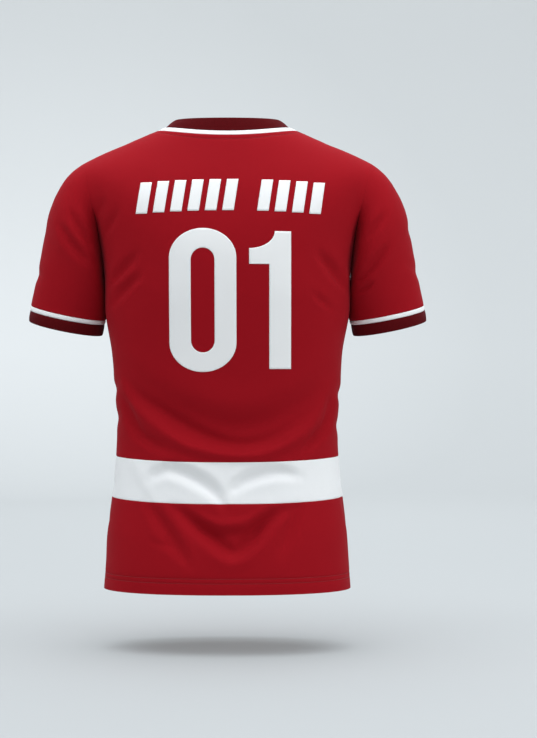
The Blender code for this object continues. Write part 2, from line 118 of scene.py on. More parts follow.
# Sleeve rings, from the armhole to the end of the cuff. at: distance along the outer line. outer, inner:
# the ring's highest and lowest point. mid_y: its middle. back, front: its half depths. drop: how much
# lower the back hangs. tuck, scoop: how the armhole folds in at the crease, forward and sideways.
SLEEVE = {
    "at": (0.0000, 0.0186, 0.0400, 0.0850, 0.1420, 0.1970, 0.2400, 0.2472, 0.2645),
    "outer_x": (0.2225, 0.2379, 0.2528, 0.2740, 0.2858, 0.2965, 0.3058, 0.3071, 0.3100),
    "outer_z": (-0.0515, -0.0620, -0.0790, -0.1200, -0.1740, -0.2280, -0.2705, -0.2775, -0.2945),
    "inner_x": (0.1900, 0.1888, 0.1883, 0.1879, 0.1879, 0.1884, 0.1903, 0.1923, 0.1957),
    "inner_z": (-0.2370, -0.2425, -0.2490, -0.2600, -0.2715, -0.2830, -0.2942, -0.3004, -0.3178),
    "mid_y": (0.0000, -0.0010, -0.0020, -0.0060, -0.0110, -0.0160, -0.0200, -0.0207, -0.0225),
    "back": (0.0680, 0.0670, 0.0660, 0.0650, 0.0615, 0.0580, 0.0555, 0.0555, 0.0550),
    "front": (0.0700, 0.0680, 0.0660, 0.0640, 0.0610, 0.0580, 0.0555, 0.0555, 0.0550),
    "drop": (0.0000, 0.0005, 0.0010, 0.0020, 0.0035, 0.0050, 0.0060, 0.0062, 0.0065),
    "tuck": (0.72, 0.38, 0.15, 0.02, 0.00, 0.00, 0.00, 0.00, 0.00),
    "scoop": (0.0060, 0.0040, 0.0018, 0.0000, 0.0000, 0.0000, 0.0000, 0.0000, 0.0000),
}
SLEEVE_END, STRIPE_END, CUFF_END = SLEEVE["at"][6:9]

# Collar rings above the neck seam: the top of the white stripe, the middle and the top of the rib.
COLLAR = {
    "side_x": (0.0955, 0.0882, 0.0815),
    "side_z": (0.0035, 0.0093, 0.0145),
    "back_y": (0.0612, 0.0575, 0.0545),
    "back_z": (-0.0076, 0.0024, 0.0122),
    "front_y": (0.0890, 0.0828, 0.0775),
    "front_z": (-0.0795, -0.0718, -0.0640),
}

# ---------------------------------------------------------------- cloth and sewing
CLOTH = 0.0007  # wall of the knit
RIB_WALL = 0.0021  # a folded band of rib, both layers
STEP = 0.0036  # size of a cell of cloth
EDGE_STEPS = (0.0000, 0.0007, 0.0016, 0.0028)  # closer cells where an edge turns in at a seam
SEAM_DIP = 0.0006  # how far a sewn edge turns in
SEAM_ROLL = 0.0011  # over which distance it does so
RIB_PITCH = 0.0023  # from rib to rib
RIB_HEIGHT = 0.00040  # from groove to ridge
HEM_ROWS = (0.0170, 0.0240)  # twin-needle stitching, distances from the hem
NECK_ROW = 0.0080  # topstitching below the neck seam
STITCH_PITCH = 0.0030
STITCH_LENGTH = 0.0025
STITCH_RADIUS = 0.00034
STITCH_PULL = 0.0006  # how far a row of stitches draws the cloth in
STITCH_PULL_REACH = 0.0012
STITCH_ROW_SHIFTS = (-0.001, 0.0, 0.001)
NECK_ROWS = tuple(NECK_ROW + shift for shift in STITCH_ROW_SHIFTS)
STITCH_RISE = 0.7  # how far a stitch's middle stands above the cloth, as a share of its radius
COLUMNS = round(0.25 / STEP)  # from the centre line of a torso panel to its edge
SLEEVE_COLUMNS = round(0.52 / STEP)
DISTANCE_DIGITS = 6  # distances are rounded to a millionth of a metre
LEAST_STEP = 0.0002  # of two rows that are nearer than this, one is left out
SECTION_SAMPLES = 6  # to a column, to find the length of a section
CENTRE_SAMPLES = 400  # to find the length of a centre line
ARMHOLE_SAMPLES = 181
STRIPE_STEP = 0.0012  # the white stripe at the end of a sleeve
STRIPE_BULGE = 0.0003
STRIPE_WALL = 0.0011
CUFF_ROWS = 12
CUFF_LIP = 0.001  # the rounded edge's share of the cuff
COLUMNS_A_RIB = 4
RIB_SWELL = 0.0007  # how far a band bulges between its edges
RIB_START = 0.06  # the ribs begin this low at the sewn edge, as a share of their growth
LIP_STEPS = 7  # round a band's free edge
COLLAR_QUARTER = 0.15  # about a quarter of the collar's girth
COLLAR_HEIGHTS = (0.0, 0.08, 0.18, 0.30, 0.44, 0.58, 0.72, 0.83, 0.92, 1.0)  # rows of the stripe
COLLAR_BULGE = 0.0006
COLLAR_STRIPE_WALL = 0.0012
COLLAR_RIB_ROWS = 15
COLLAR_MIDDLE = (0.0, -0.01, -0.03)
# Heights between which a sewn edge stops turning in, how much of it goes, and from where, sideways.
DIP_FADE = (-0.165, 0.060)
DIP_LOSS = 0.94
DIP_FROM_NECK = 0.02

# ---------------------------------------------------------------- folds
# By the side that shows the folds, whose paths are (x, z) points, or (y, z) points on the left and right,
# and by the pieces that they cross. Each fold is (width, depth, path). width: from its middle to where it
# starts to turn back. depth: above 0 in a trough and below 0 on a ridge.
FOLDS = {
    ("back", "torso"): (
        # waist: the hanging fold across the back above the hoop, and the ridge under it
        (0.03, 0.0075, ((0.15, -0.372), (0.112, -0.412), (0.056, -0.446), (-0.006, -0.462), (-0.07, -0.452),
                        (-0.118, -0.42), (-0.152, -0.38))),
        (0.012, 0.005, ((0.152, -0.386), (0.135, -0.409), (0.099, -0.434), (0.046, -0.466), (-0.02, -0.486),
                        (-0.072, -0.474), (-0.112, -0.446))),
        (0.0115, -0.0042, ((0.158, -0.392), (0.138, -0.4245), (0.101, -0.459), (0.059, -0.485),
                           (0.004, -0.4955), (-0.058, -0.4955), (-0.1115, -0.469), (-0.148, -0.428))),
        (0.01, 0.005, ((0.156, -0.414), (0.133, -0.466), (0.088, -0.494))),
        (0.0095, 0.0056, ((-0.162, -0.407), (-0.146, -0.459), (-0.112, -0.498))),
        (0.005, -0.002, ((-0.154, -0.43), (-0.138, -0.47))),
        # the arcs in the hoop
        (0.012, 0.0072, ((0.118, -0.538), (0.09, -0.522), (0.048, -0.533), (0.02, -0.552), (0.0, -0.58))),
        (0.0115, 0.0066, ((-0.004, -0.556), (-0.033, -0.535), (-0.072, -0.5245), (-0.112, -0.532))),
        (0.011, -0.0014, ((0.143, -0.505), (0.112, -0.562))),
        # the pocket under the hoop, with its lip
        (0.022, 0.006, ((0.07, -0.58), (0.03, -0.608), (-0.012, -0.622), (-0.045, -0.605),
                        (-0.08, -0.578))),
        (0.012, 0.0062, ((0.084, -0.575), (0.057, -0.593), (0.02, -0.622), (-0.012, -0.643),
                         (-0.035, -0.628), (-0.059, -0.598), (-0.104, -0.576))),
        (0.01, -0.0036, ((0.05, -0.584), (0.009, -0.603), (-0.0275, -0.6), (-0.064, -0.577))),
        (0.012, 0.0046, ((0.12, -0.57), (0.091, -0.6085), (0.056, -0.662))),
        (0.008, 0.0012, ((0.114, -0.628), (0.078, -0.637))),
        (0.011, 0.0032, ((-0.11, -0.57), (-0.082, -0.648))),
        # drags from the armpits
        (0.0085, 0.0042, ((0.178, -0.243), (0.158, -0.221), (0.132, -0.195))),
        (0.0085, 0.004, ((0.176, -0.276), (0.152, -0.247), (0.126, -0.227))),
        (0.0095, 0.005, ((-0.138, -0.194), (-0.16, -0.219), (-0.182, -0.25))),
        (0.006, 0.0022, ((-0.13, -0.255), (-0.16, -0.28))),
        (0.006, 0.002, ((0.201, -0.136), (0.184, -0.112))),
        (0.0068, 0.0028, ((0.188, -0.168), (0.162, -0.13))),
    ),
    ("back", "sleeve"): (
        # back of the sleeves
        (0.009, 0.0042, ((0.238, -0.13), (0.222, -0.16), (0.202, -0.188))),
        (0.009, 0.004, ((0.256, -0.15), (0.232, -0.184), (0.206, -0.212))),
        (0.008, 0.0032, ((-0.242, -0.133), (-0.21, -0.176))),
        (0.0092, 0.0046, ((-0.248, -0.18), (-0.222, -0.214), (-0.194, -0.24))),
        (0.006, 0.0022, ((-0.198, -0.254), (-0.224, -0.238))),
    ),
    ("front", "torso"): (
        # the front, which hangs in folds of the same kind
        (0.0125, 0.0056, ((0.15, -0.392), (0.116, -0.43), (0.06, -0.462), (0.0, -0.474), (-0.056, -0.464),
                          (-0.104, -0.438), (-0.142, -0.4))),
        (0.012, -0.0044, ((0.16, -0.414), (0.11, -0.466), (0.04, -0.496), (-0.04, -0.498), (-0.112, -0.466),
                          (-0.16, -0.41))),
        (0.009, 0.004, ((0.15, -0.452), (0.118, -0.498), (0.08, -0.526))),
        (0.009, 0.0036, ((-0.158, -0.44), (-0.13, -0.492), (-0.086, -0.52))),
        (0.0115, 0.006, ((0.1, -0.56), (0.062, -0.596), (0.014, -0.622), (-0.03, -0.618), (-0.07, -0.588),
                         (-0.102, -0.556))),
        (0.01, -0.0032, ((0.064, -0.574), (0.016, -0.596), (-0.03, -0.592), (-0.06, -0.57))),
        (0.0095, 0.0036, ((-0.124, -0.566), (-0.1, -0.612), (-0.066, -0.668))),
        (0.008, 0.0022, ((0.128, -0.6), (0.104, -0.66))),
        (0.009, 0.0042, ((0.18, -0.246), (0.152, -0.226), (0.118, -0.212))),
        (0.0085, 0.0034, ((0.176, -0.28), (0.146, -0.262), (0.112, -0.256))),
        (0.009, 0.0044, ((-0.182, -0.248), (-0.154, -0.222), (-0.122, -0.202))),
        (0.008, 0.003, ((-0.176, -0.284), (-0.144, -0.268))),
        (0.01, 0.0024, ((0.11, -0.14), (0.086, -0.176), (0.046, -0.2))),
        (0.01, 0.0022, ((-0.116, -0.134), (-0.092, -0.168), (-0.06, -0.186))),
    ),
    ("front", "sleeve"): (
        (0.009, 0.0042, ((0.244, -0.134), (0.226, -0.166), (0.202, -0.198))),
        (0.009, 0.0036, ((0.262, -0.166), (0.236, -0.2), (0.208, -0.228))),
        (0.009, 0.0044, ((-0.246, -0.14), (-0.224, -0.176), (-0.2, -0.206))),
        (0.008, 0.003, ((-0.262, -0.184), (-0.232, -0.218))),
    ),
    ("left", "torso"): (
        # the sides, under the arms and at the waist
        (0.012, 0.002, ((0.052, -0.388), (0.01, -0.402), (-0.038, -0.396))),
        (0.012, 0.0016, ((0.044, -0.438), (-0.002, -0.446), (-0.056, -0.43))),
        (0.012, 0.0014, ((0.034, -0.54), (-0.01, -0.552), (-0.05, -0.54))),
        (0.013, 0.0018, ((0.02, -0.59), (-0.02, -0.65))),
    ),
    ("right", "torso"): (
        (0.012, 0.002, ((0.046, -0.398), (0.0, -0.41), (-0.046, -0.388))),
        (0.012, 0.0014, ((0.04, -0.452), (-0.012, -0.458), (-0.05, -0.446))),
        (0.013, 0.0018, ((0.028, -0.56), (0.0, -0.616), (-0.012, -0.668))),
    ),
    ("left", "sleeve"): (
        (0.011, 0.0014, ((-0.048, -0.196), (-0.014, -0.222), (0.024, -0.228))),
        (0.012, 0.0012, ((-0.04, -0.14), (0.0, -0.158))),
    ),
    ("right", "sleeve"): (
        (0.011, 0.0014, ((-0.05, -0.206), (-0.01, -0.22), (0.028, -0.208))),
        (0.012, 0.0012, ((-0.02, -0.148), (0.02, -0.164))),
    ),
}
FOLD_WIDTH, FOLD_DEPTH = 0.82, 1.36  # of every fold, times its own
FOLD_REACH = 3.5  # how many widths away a fold still counts
FOLD_END_WIDTH = 0.65  # at its ends, as a share of its width at the middle
FOLD_END = 0.02  # share of the path over which an end keeps its depth
SWELL_POWER = 0.7  # the lower it is, the fuller a fold or a band is near its ends
BACK_FROM, BACK_GROWTH = 0.004, 0.036  # where a fold of the back or front starts to count, in depth
SIDE_GROWTH = 0.02
PATH_STEP = 0.0025  # a fold's path is followed in steps of this size
FOLD_FADE = 0.0140  # folds die out this near to a seam
# Slow unevenness of the cloth, as (size across, height).
UNEVEN = ((0.090, 0.0011), (0.034, 0.00035))
UNEVEN_SHIFT, UNEVEN_PLACE = 3.1, (1.7, 5.3)  # where in the noise each of them is read
# Rows and distances over which the folds of a panel die out at the armhole, and those of a sleeve at its end.
ARMHOLE_ROWS, ARMHOLE_PAST_PIT = 0.8, 0.6
SLEEVE_PAST_END, SLEEVE_FADE = 0.004, 0.02
# Where a panel's rows turn from the shoulder seam to the armhole, and over how many rows they are evened.
TURN_ROW, TURN_ROWS, TURN_ROUNDS = 4.2, 0.9, 60
TURN_REACH = 0.012
# The crease along the lower armhole.
CREASE_TOP, CREASE_GROWTH = -0.110, 0.060
CREASE_DEPTH = 0.0090
CREASE_REACH = 0.0085
# The cloth is pulled smooth over the top of the armhole, from the shoulder to the sleeve.
SOFT_REACH = 0.0115
SOFT_ROUNDS = 3
SOFT_RETURN = 0.92  # how much of each softening's slow shrinking is given back
SOFT_END = (-0.168, 0.075)  # where it starts, going up, and over which height it grows to the full effect
SOFT_START_X = (0.088, 0.035)
SOFT_FROM_NECK = (0.028, 0.030)
SOFT_SLEEVE = (0.085, 0.035)
SOFT_LEAST = 0.001  # points with a smaller share stay where they are
SOFT_BATCHES = 40

# ---------------------------------------------------------------- print
NUMBER_MIDDLE_Z = -0.2673
NUMBER_STROKE = 0.0325
ZERO_MIDDLE_X = 0.0345
ZERO_WIDTH = 0.1005
ZERO_HEIGHT = 0.2143
ZERO_END = 0.0440  # height of the rounded part at each end
ZERO_SLOT_END = 0.0180
END_STROKE = 0.9  # the zero's stroke at its ends, as a share of that at its sides
ONE_MIDDLE_X = -0.0810
ONE_HEIGHT = 0.2053
ONE_FLAG = 0.0300  # reach of the flag beyond the stem
FLAG_TOP = 0.0255  # from the top of the stem down to the flag's tip
FLAG_BOTTOM = 0.0490
FLAG_INSET = 0.25  # where the flag's upper edge meets the stem's top, as a share of the stem's width
BAR_GROUPS = (6, 4)
BARS_MIDDLE_X = -0.0066
BAR_TOP = -0.0855
BAR_HEIGHT = 0.0478
BAR_WIDTH = 0.0172
BAR_PITCH = 0.0260
BAR_SLANT = 0.0070
BAR_ARCH = 0.0042  # how much lower the row's ends are than its middle
PRINT_STEP = 0.0030
PRINT_LIFT = 0.00028
PRINT_WALL = 0.00018
PRINT_ABOVE = 1.0  # y from which a print is laid down on the cloth
ARC_POINTS = 33  # on half a turn of an outline
PRINT_MERGE, PRINT_FLAT_ANGLE, PRINT_CUT_MARGIN = 1e-6, 0.01, 1e-5

# ---------------------------------------------------------------- stage
CAMERA_DISTANCE = 3.0
CAMERA_X, CAMERA_Z = -0.0636, -0.3700
VIEW_HEIGHT = 1.1439  # how much of the jersey's plane the picture's height covers
SENSOR = 36.0
CLIP_END = 50.0
FLOOR_GAP = 0.093  # from the hem down to the floor
FLOOR_RADIUS, SWEEP, WALL_HEIGHT = 3.6, 2.0, 6.0
FLOOR_PLATE = 0.6  # the one flat face in the middle of the floor, as a share of its radius
STAGE_SIDES, SWEEP_STEPS = 96, 25
FLOOR_GLOW, WALL_GLOW, GLOW_RISE = 0.168, 0.206, 0.5
LEFT_GLOW, LEFT_GLOW_PLACE, LEFT_GLOW_REACH = 0.168, (1.0, -5.2, -0.45), 2.0
PAPER_GLOW = (0.955, 0.985, 1.0)


# ---------------------------------------------------------------- curves through the tables
def smooth(at, knots, values):
    """Cubic curve through a table's column, read at each place in at."""
    knots, values, at = (np.asarray(a, float) for a in (knots, values, at))
    slopes = np.gradient(values, knots)
    i = np.clip(np.searchsorted(knots, at, side="right") - 1, 0, len(knots) - 2)
    span = knots[i + 1] - knots[i]
    u = (at - knots[i]) / span
    start = (1 + 2 * u) * (1 - u) ** 2 * values[i] + u * (1 - u) ** 2 * span * slopes[i]
    end = u**2 * (3 - 2 * u) * values[i + 1] + u**2 * (u - 1) * span * slopes[i + 1]
    return start + end


def lengths(points):
    """Distance along a polyline up to each of its points."""
    steps = np.linalg.norm(np.diff(points, axis=0), axis=1)
    return np.concatenate([[0.0], np.cumsum(steps)])


def along(points, wanted):
    """Points at the wanted distances along a polyline."""
    at = lengths(points)
    return np.stack([np.interp(wanted, at, points[:, k]) for k in range(points.shape[1])], axis=1)


def soft_step(value):
    """0 below 0, 1 above 1, and smooth between."""
    share = np.clip(value, 0.0, 1.0)
    return share * share * (3 - 2 * share)


def unit(vectors):
    return vectors / np.maximum(np.linalg.norm(vectors, axis=-1, keepdims=True), 1e-12)


def spread(length, step, extra=()):
    """Distances from one edge of a panel to the other: even, but close together near both edges, with
    some extra ones."""
    edge = np.array(EDGE_STEPS)
    count = max(2, round((length - 2 * edge[-1]) / step) + 1)
    inner = np.linspace(edge[-1], length - edge[-1], count)
    wanted = np.concatenate([edge, inner, length - edge, extra])
    wanted = np.unique(wanted.round(DISTANCE_DIGITS))
    keep = np.concatenate([[True], np.diff(wanted) > LEAST_STEP])
    return wanted[keep]


# ---------------------------------------------------------------- the torso's base surface
def quarter(edge, centre_y, centre_z, flat, blunt, columns):
    """Points of one section row, from its centre line to its edge, as part of a superellipse."""
    edge_x, edge_y, edge_z = edge
    last = math.acos(abs(edge_y / centre_y) ** (blunt / 2))
    angle = np.linspace(0.0, last, SECTION_SAMPLES * columns)
    reach = edge_x / math.sin(last) ** (2 / flat)
    x = reach * np.sin(angle) ** (2 / flat)
    y = centre_y * np.cos(angle).clip(0.0) ** (2 / blunt)
    z = edge_z + (centre_z - edge_z) * ((y - edge_y) / (centre_y - edge_y)) ** 2
    line = np.stack([x, y, z], axis=1)
    length = lengths(line)[-1]
    edge_places = length - np.array(EDGE_STEPS[-2::-1])
    return along(line, np.concatenate([np.linspace(0.0, length - EDGE_STEPS[-1], columns), edge_places]))


def whole_row(edge, centre_y, centre_z, flat, blunt, columns):
    """One section row from its right edge to its left one."""
    left = quarter(edge, centre_y, centre_z, flat, blunt, columns)
    return np.concatenate([left[:0:-1] * (-1, 1, 1), left])


def sleeve_ring(at, turns):
    """Points of a sleeve ring at a distance from the shoulder tip, at shares of a turn from its top."""
    ring = {key: float(smooth(at, SLEEVE["at"], SLEEVE[key])) for key in SLEEVE if key != "at"}
    angle = 2 * math.pi * np.asarray(turns)
    across, around = np.cos(angle), np.sin(angle)
    depth = np.where(around > 0, ring["back"], ring["front"])
    depth = depth * (1 - ring["tuck"] * (1 - across) / 2)
    middle_x, reach_x = (ring["outer_x"] + ring["inner_x"]) / 2, (ring["outer_x"] - ring["inner_x"]) / 2
    middle_z, reach_z = (ring["outer_z"] + ring["inner_z"]) / 2, (ring["outer_z"] - ring["inner_z"]) / 2
    x = middle_x + reach_x * across - ring["scoop"] * around**2
    y = ring["mid_y"] + depth * around
    z = middle_z + reach_z * across - ring["drop"] * around
    return np.stack([x, y, z], axis=1)


def edge_of(row, side):
    """The seam point at the edge of a section row. side is 1 on the back and -1 on the front."""
    if row <= TIP:
        x, z = (float(smooth(row, range(TIP + 1), SHOULDER[key])) for key in ("x", "z"))
        return np.array([x, 0.0, z])
    if row < PIT:
        half_turn = 0.5 * (row - TIP) / (PIT - TIP)
        return sleeve_ring(0.0, [half_turn if side > 0 else 1.0 - half_turn])[0]
    x, z = (float(smooth(row, range(PIT, HEM + 1), SIDE[key])) for key in ("x", "z"))
    return np.array([x, 0.0, z])


def centre_of(row, side):
    """(depth, height) of the centre line of the back or the front at a row."""
    name = "back" if side > 0 else "front"
    z = smooth(row, range(HEM + 1), ROWS[name + "_z"])
    return side * smooth(-z, -np.array(PROFILE["z"]), PROFILE[name]), z


def section_row(row, side, columns):
    centre_y, centre_z = (float(v) for v in centre_of(row, side))
    flat, blunt = (float(smooth(row, range(HEM + 1), ROWS[key])) for key in ("flat", "blunt"))
    return whole_row(edge_of(row, side), centre_y, centre_z, flat, blunt, columns)


def collar_row(height, side, columns):
    """Half a collar ring. height: 0 at the neck seam, 1 at the top of the stripe, 3 at the top of the rib."""
    seam_y, seam_z = (float(v) for v in centre_of(NECK, side))
    name = "back" if side > 0 else "front"
    starts = {
        "side_x": SHOULDER["x"][0], "side_z": SHOULDER["z"][0], name + "_y": abs(seam_y), name + "_z": seam_z,
    }
    x, z, centre_y, centre_z = (
        float(smooth(height, range(4), (start, *COLLAR[key]))) for key, start in starts.items()
    )
    return whole_row((x, 0.0, z), side * centre_y, centre_z, 2.0, 2.0, columns)


# ---------------------------------------------------------------- folds
def fold_path(points):
    """A smooth line through a fold's points."""
    points = np.array(points)
    at = lengths(points)
    wanted = np.linspace(0.0, at[-1], max(6, round(at[-1] / PATH_STEP)))
    return np.stack([smooth(wanted, at, points[:, k]) for k in range(2)], axis=1)


def folds_on(piece):
    """(view, width, depth, path) of each fold that crosses the torso or the sleeves."""
    for (view, crossed), folds in FOLDS.items():
        if crossed == piece:
            for fold in folds:
                yield view, *fold


def fold_push(points, on, middle_y):
    """How far the folds push each point inwards. middle_y tells the back of a piece from its front."""
    push = np.zeros(len(points))
    to_back = points[:, 1] - middle_y
    weights = {
        "back": soft_step((to_back - BACK_FROM) / BACK_GROWTH),
        "front": soft_step((-to_back - BACK_FROM) / BACK_GROWTH),
        "left": soft_step(points[:, 0] / SIDE_GROWTH),
        "right": soft_step(-points[:, 0] / SIDE_GROWTH),
    }
    for view, width, depth, path_points in folds_on(on):
        across = 1 if view in ("left", "right") else 0
        flat = points[:, (across, 2)]
        path = fold_path(path_points)
        reach = FOLD_REACH * width
        near = ((flat > path.min(0) - reach) & (flat < path.max(0) + reach)).all(axis=1)
        near &= weights[view] > 0
        if not near.any():
            continue
        away = np.linalg.norm(flat[near][:, None] - path[None], axis=2)
        share = away.argmin(axis=1) / (len(path) - 1)
        swell = np.sin(math.pi * np.clip(share, FOLD_END, 1 - FOLD_END)) ** SWELL_POWER
        breadth = FOLD_WIDTH * width * (FOLD_END_WIDTH + (1 - FOLD_END_WIDTH) * swell)
        ratio = (away.min(axis=1) / breadth) ** 2
        shape = (1 - 0.5 * ratio) * np.exp(-0.5 * ratio)
        push[near] += FOLD_DEPTH * depth * swell * shape * weights[view][near]
    return push


def unevenness(points):
    """Slow random swells of the cloth, the same at each run."""
    total = np.zeros(len(points))
    for k, (size, height) in enumerate(UNEVEN):
        shift = Vector((UNEVEN_SHIFT * k, *UNEVEN_PLACE))
        total += height * np.array([noise.noise(Vector(p) / size + shift) for p in points])
    return total


def softness(points):
    """How much of the softening each point of a shoulder takes, from 0 to 1."""
    x, z = np.abs(points[..., 0]), points[..., 2]
    from_neck = np.hypot(x - SHOULDER["x"][0], z - SHOULDER["z"][0])
    share = soft_step((z - SOFT_END[0]) / SOFT_END[1])
    share = share * soft_step((x - SOFT_START_X[0]) / SOFT_START_X[1])
    return share * soft_step((from_neck - SOFT_FROM_NECK[0]) / SOFT_FROM_NECK[1])


def softened(grids, shares):
    """The grids of the two upper panels and the left sleeve, each point moved towards the average of the
    cloth around it, whichever piece that belongs to, so that the pieces still meet at their seams."""
    grids = dict(grids)
    for amount in (1.0, -SOFT_RETURN) * SOFT_ROUNDS:
        clouds, masses = [], []
        for grid in grids.values():
            area = np.linalg.norm(np.cross(np.gradient(grid, axis=0), np.gradient(grid, axis=1)), axis=-1)
            near = grid[..., 0] > SOFT_START_X[0] - 3 * SOFT_REACH
            near &= grid[..., 2] > SOFT_END[0] - 3 * SOFT_REACH
            clouds.append(grid[near])
            masses.append(area[near])
        cloud, mass = np.concatenate(clouds), np.concatenate(masses)
        for name, grid in grids.items():
            touched = shares[name] > SOFT_LEAST
            signs = np.where(grid[touched][:, :1] < 0, -1.0, 1.0) * (1, 0, 0) + (0, 1, 1)
            points = grid[touched] * signs
            batches = np.array_split(points, SOFT_BATCHES)
            means = np.concatenate([local_mean(batch, cloud, mass) for batch in batches])
            moved = grid.copy()
            moved[touched] = (points + amount * shares[name][touched][:, None] * (means - points)) * signs
            grids[name] = moved
    return grids


def local_mean(points, cloud, mass):
    away = (points**2).sum(1)[:, None] + (cloud**2).sum(1)[None] - 2 * points @ cloud.T
    weight = mass * np.exp(-away / (2 * SOFT_REACH**2))
    return weight @ cloud / weight.sum(1)[:, None]


ARMHOLE = sleeve_ring(0.0, np.linspace(0.0, 1.0, ARMHOLE_SAMPLES))


def crease(points):
    """How far each point is drawn in by the deep crease along the lower armhole, front and back. It is a
    shift in y, the same for both pieces that meet there."""
    mirrored = points.copy()
    mirrored[:, 0] = np.abs(mirrored[:, 0])
    away = np.sqrt(((mirrored[:, None] - ARMHOLE[None]) ** 2).sum(-1).min(axis=1))
    low = soft_step((CREASE_TOP - points[:, 2]) / CREASE_GROWTH)
    low = low * soft_step(np.abs(points[:, 1]) / CREASE_REACH)
    return -np.sign(points[:, 1]) * CREASE_DEPTH * low * np.exp(-0.5 * (away / CREASE_REACH) ** 2)


def normals_of(grid, closed):
    """Outward unit normals of a grid whose rows run down the piece and whose columns run round it."""
    around = np.concatenate([grid[:, -1:], grid, grid[:, :1]], axis=1) if closed else grid
    across = np.gradient(around, axis=1)
    across = across[:, 1:-1] if closed else across
    return unit(np.cross(across, np.gradient(grid, axis=0)))


# ---------------------------------------------------------------- building the pieces
def grid_mesh(name, grid, uv, closed_columns=False, closed_rows=False):
    """A mesh over a grid of points, with its UV map in metres of cloth."""
    rows, columns, _ = grid.shape
    index = np.arange(rows * columns).reshape(rows, columns)
    below = np.roll(index, -1, axis=0) if closed_rows else index[1:]
    index = index if closed_rows else index[:-1]
    if closed_columns:
        right, low_right = np.roll(index, -1, axis=1), np.roll(below, -1, axis=1)
    else:
        index, right, below, low_right = index[:, :-1], index[:, 1:], below[:, :-1], below[:, 1:]
    faces = np.stack([index, below, low_right, right], axis=-1).reshape(-1, 4)
    mesh = bpy.data.meshes.new(name)
    mesh.from_pydata(grid.reshape(-1, 3).tolist(), [], faces.tolist())
    layer = mesh.uv_layers.new(name="cloth")
    corners = np.empty(len(mesh.loops), int)
    mesh.loops.foreach_get("vertex_index", corners)
    layer.data.foreach_set("uv", uv.reshape(-1, 2)[corners].astype(np.float32).ravel())
    mesh.validate()
    mesh.shade_smooth()
    return mesh


def linked(name, data):
    """A new object in the scene."""
    made = bpy.data.objects.new(name, data)
    bpy.context.scene.collection.objects.link(made)
    return made


def placed(name, mesh, finish, node=None):
    """An object that rides on the jersey's one body, in the place of a CAD node if one is named."""
    mesh.materials.append(finish)
    obj = linked(name, mesh)
    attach(obj, "root")
    if node:
        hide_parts(node)
    return obj


def walled(obj, thickness):
    """Gives cloth its wall, inwards from the surface."""
    shell = obj.modifiers.new("wall", "SOLIDIFY")
    shell.thickness = thickness
    shell.offset = -1.0
    return obj


def declare(obj, grid):
    """Measures the length of a piece's longest column, and does nothing more with it."""
    length = max(lengths(column)[-1] for column in grid.transpose(1, 0, 2))


def edge_dip(distance):
    """How far cloth turns in at a distance from the seam it is sewn into."""
    return SEAM_DIP * np.exp(-((distance / SEAM_ROLL) ** 2))


def seam_share(points):
    """How much a sewn edge turns in. Over the top of the armhole it hardly does."""
    at_top = soft_step((points[..., 2] - DIP_FADE[0]) / DIP_FADE[1])
    return 1.0 - DIP_LOSS * at_top * (np.abs(points[..., 0]) > SHOULDER["x"][0] + DIP_FROM_NECK)


def torso_lines(first, last, side, extra=()):
    """Rows of a torso panel, and how far down the centre line each one is."""
    rows = np.linspace(first, last, CENTRE_SAMPLES)
    centre = np.stack([(0 * rows), *centre_of(rows, side)], axis=1)
    at = lengths(centre)
    wanted = spread(at[-1], STEP, extra)
    return np.interp(wanted, at, rows), wanted


def torso_base(first, last, side, extra=()):
    """The unfolded grid of a torso panel. Where the rows turn from the shoulder seam to the armhole, they
    are evened out, so that none crosses the next."""
    rows, _ = torso_lines(first, last, side, extra)
    grid = np.array([section_row(row, side, COLUMNS) for row in rows])
    if first == NECK:
        from_edge = np.array([lengths(line) for line in grid])
        to_side = np.minimum(from_edge, from_edge[:, -1:] - from_edge)
        share = np.exp(-(((rows[:, None] - TURN_ROW) / TURN_ROWS) ** 2)) * soft_step(to_side / TURN_REACH)
        for _ in range(TURN_ROUNDS):
            between = (grid[:-2] + grid[2:]) / 2
            grid[1:-1] += 0.5 * share[1:-1, :, None] * (between - grid[1:-1])
    return grid


def torso_surface(first, last, side, grid, extra=(), pulled=()):
    """(finished grid, UV) of a torso panel. extra: distances that need a row of points. pulled: those
    where stitches draw the cloth in."""
    rows, down = torso_lines(first, last, side, extra)
    normals = normals_of(grid, False) * side
    flat = grid.reshape(-1, 3)
    from_edge = np.array([lengths(line) for line in grid])
    width = from_edge[:, -1:]
    to_side = np.minimum(from_edge, width - from_edge)
    down = down[:, None]
    to_neck = down if first == NECK else 1.0
    at_armhole = soft_step((rows - TIP + ARMHOLE_ROWS) / ARMHOLE_ROWS)
    at_armhole = at_armhole * soft_step((PIT + ARMHOLE_PAST_PIT - rows) / ARMHOLE_ROWS)
    calm = soft_step(to_neck / FOLD_FADE) * (1 - at_armhole[:, None] * (1 - soft_step(to_side / FOLD_FADE)))
    push = (fold_push(flat, "torso", 0.0) + unevenness(flat)).reshape(to_side.shape) * calm
    push = push + edge_dip(to_side) * seam_share(grid) + edge_dip(down)
    push = push + (edge_dip(down[-1] - down) if last != HEM else 0.0)
    for place in pulled:
        push = push + STITCH_PULL * np.exp(-(((down - place) / STITCH_PULL_REACH) ** 2))
    finished = grid - normals * push[..., None]
    finished[..., 1] += crease(flat).reshape(to_side.shape)
    uv = np.stack([from_edge - width / 2, np.broadcast_to(-down, to_side.shape)], axis=-1)
    return finished, uv


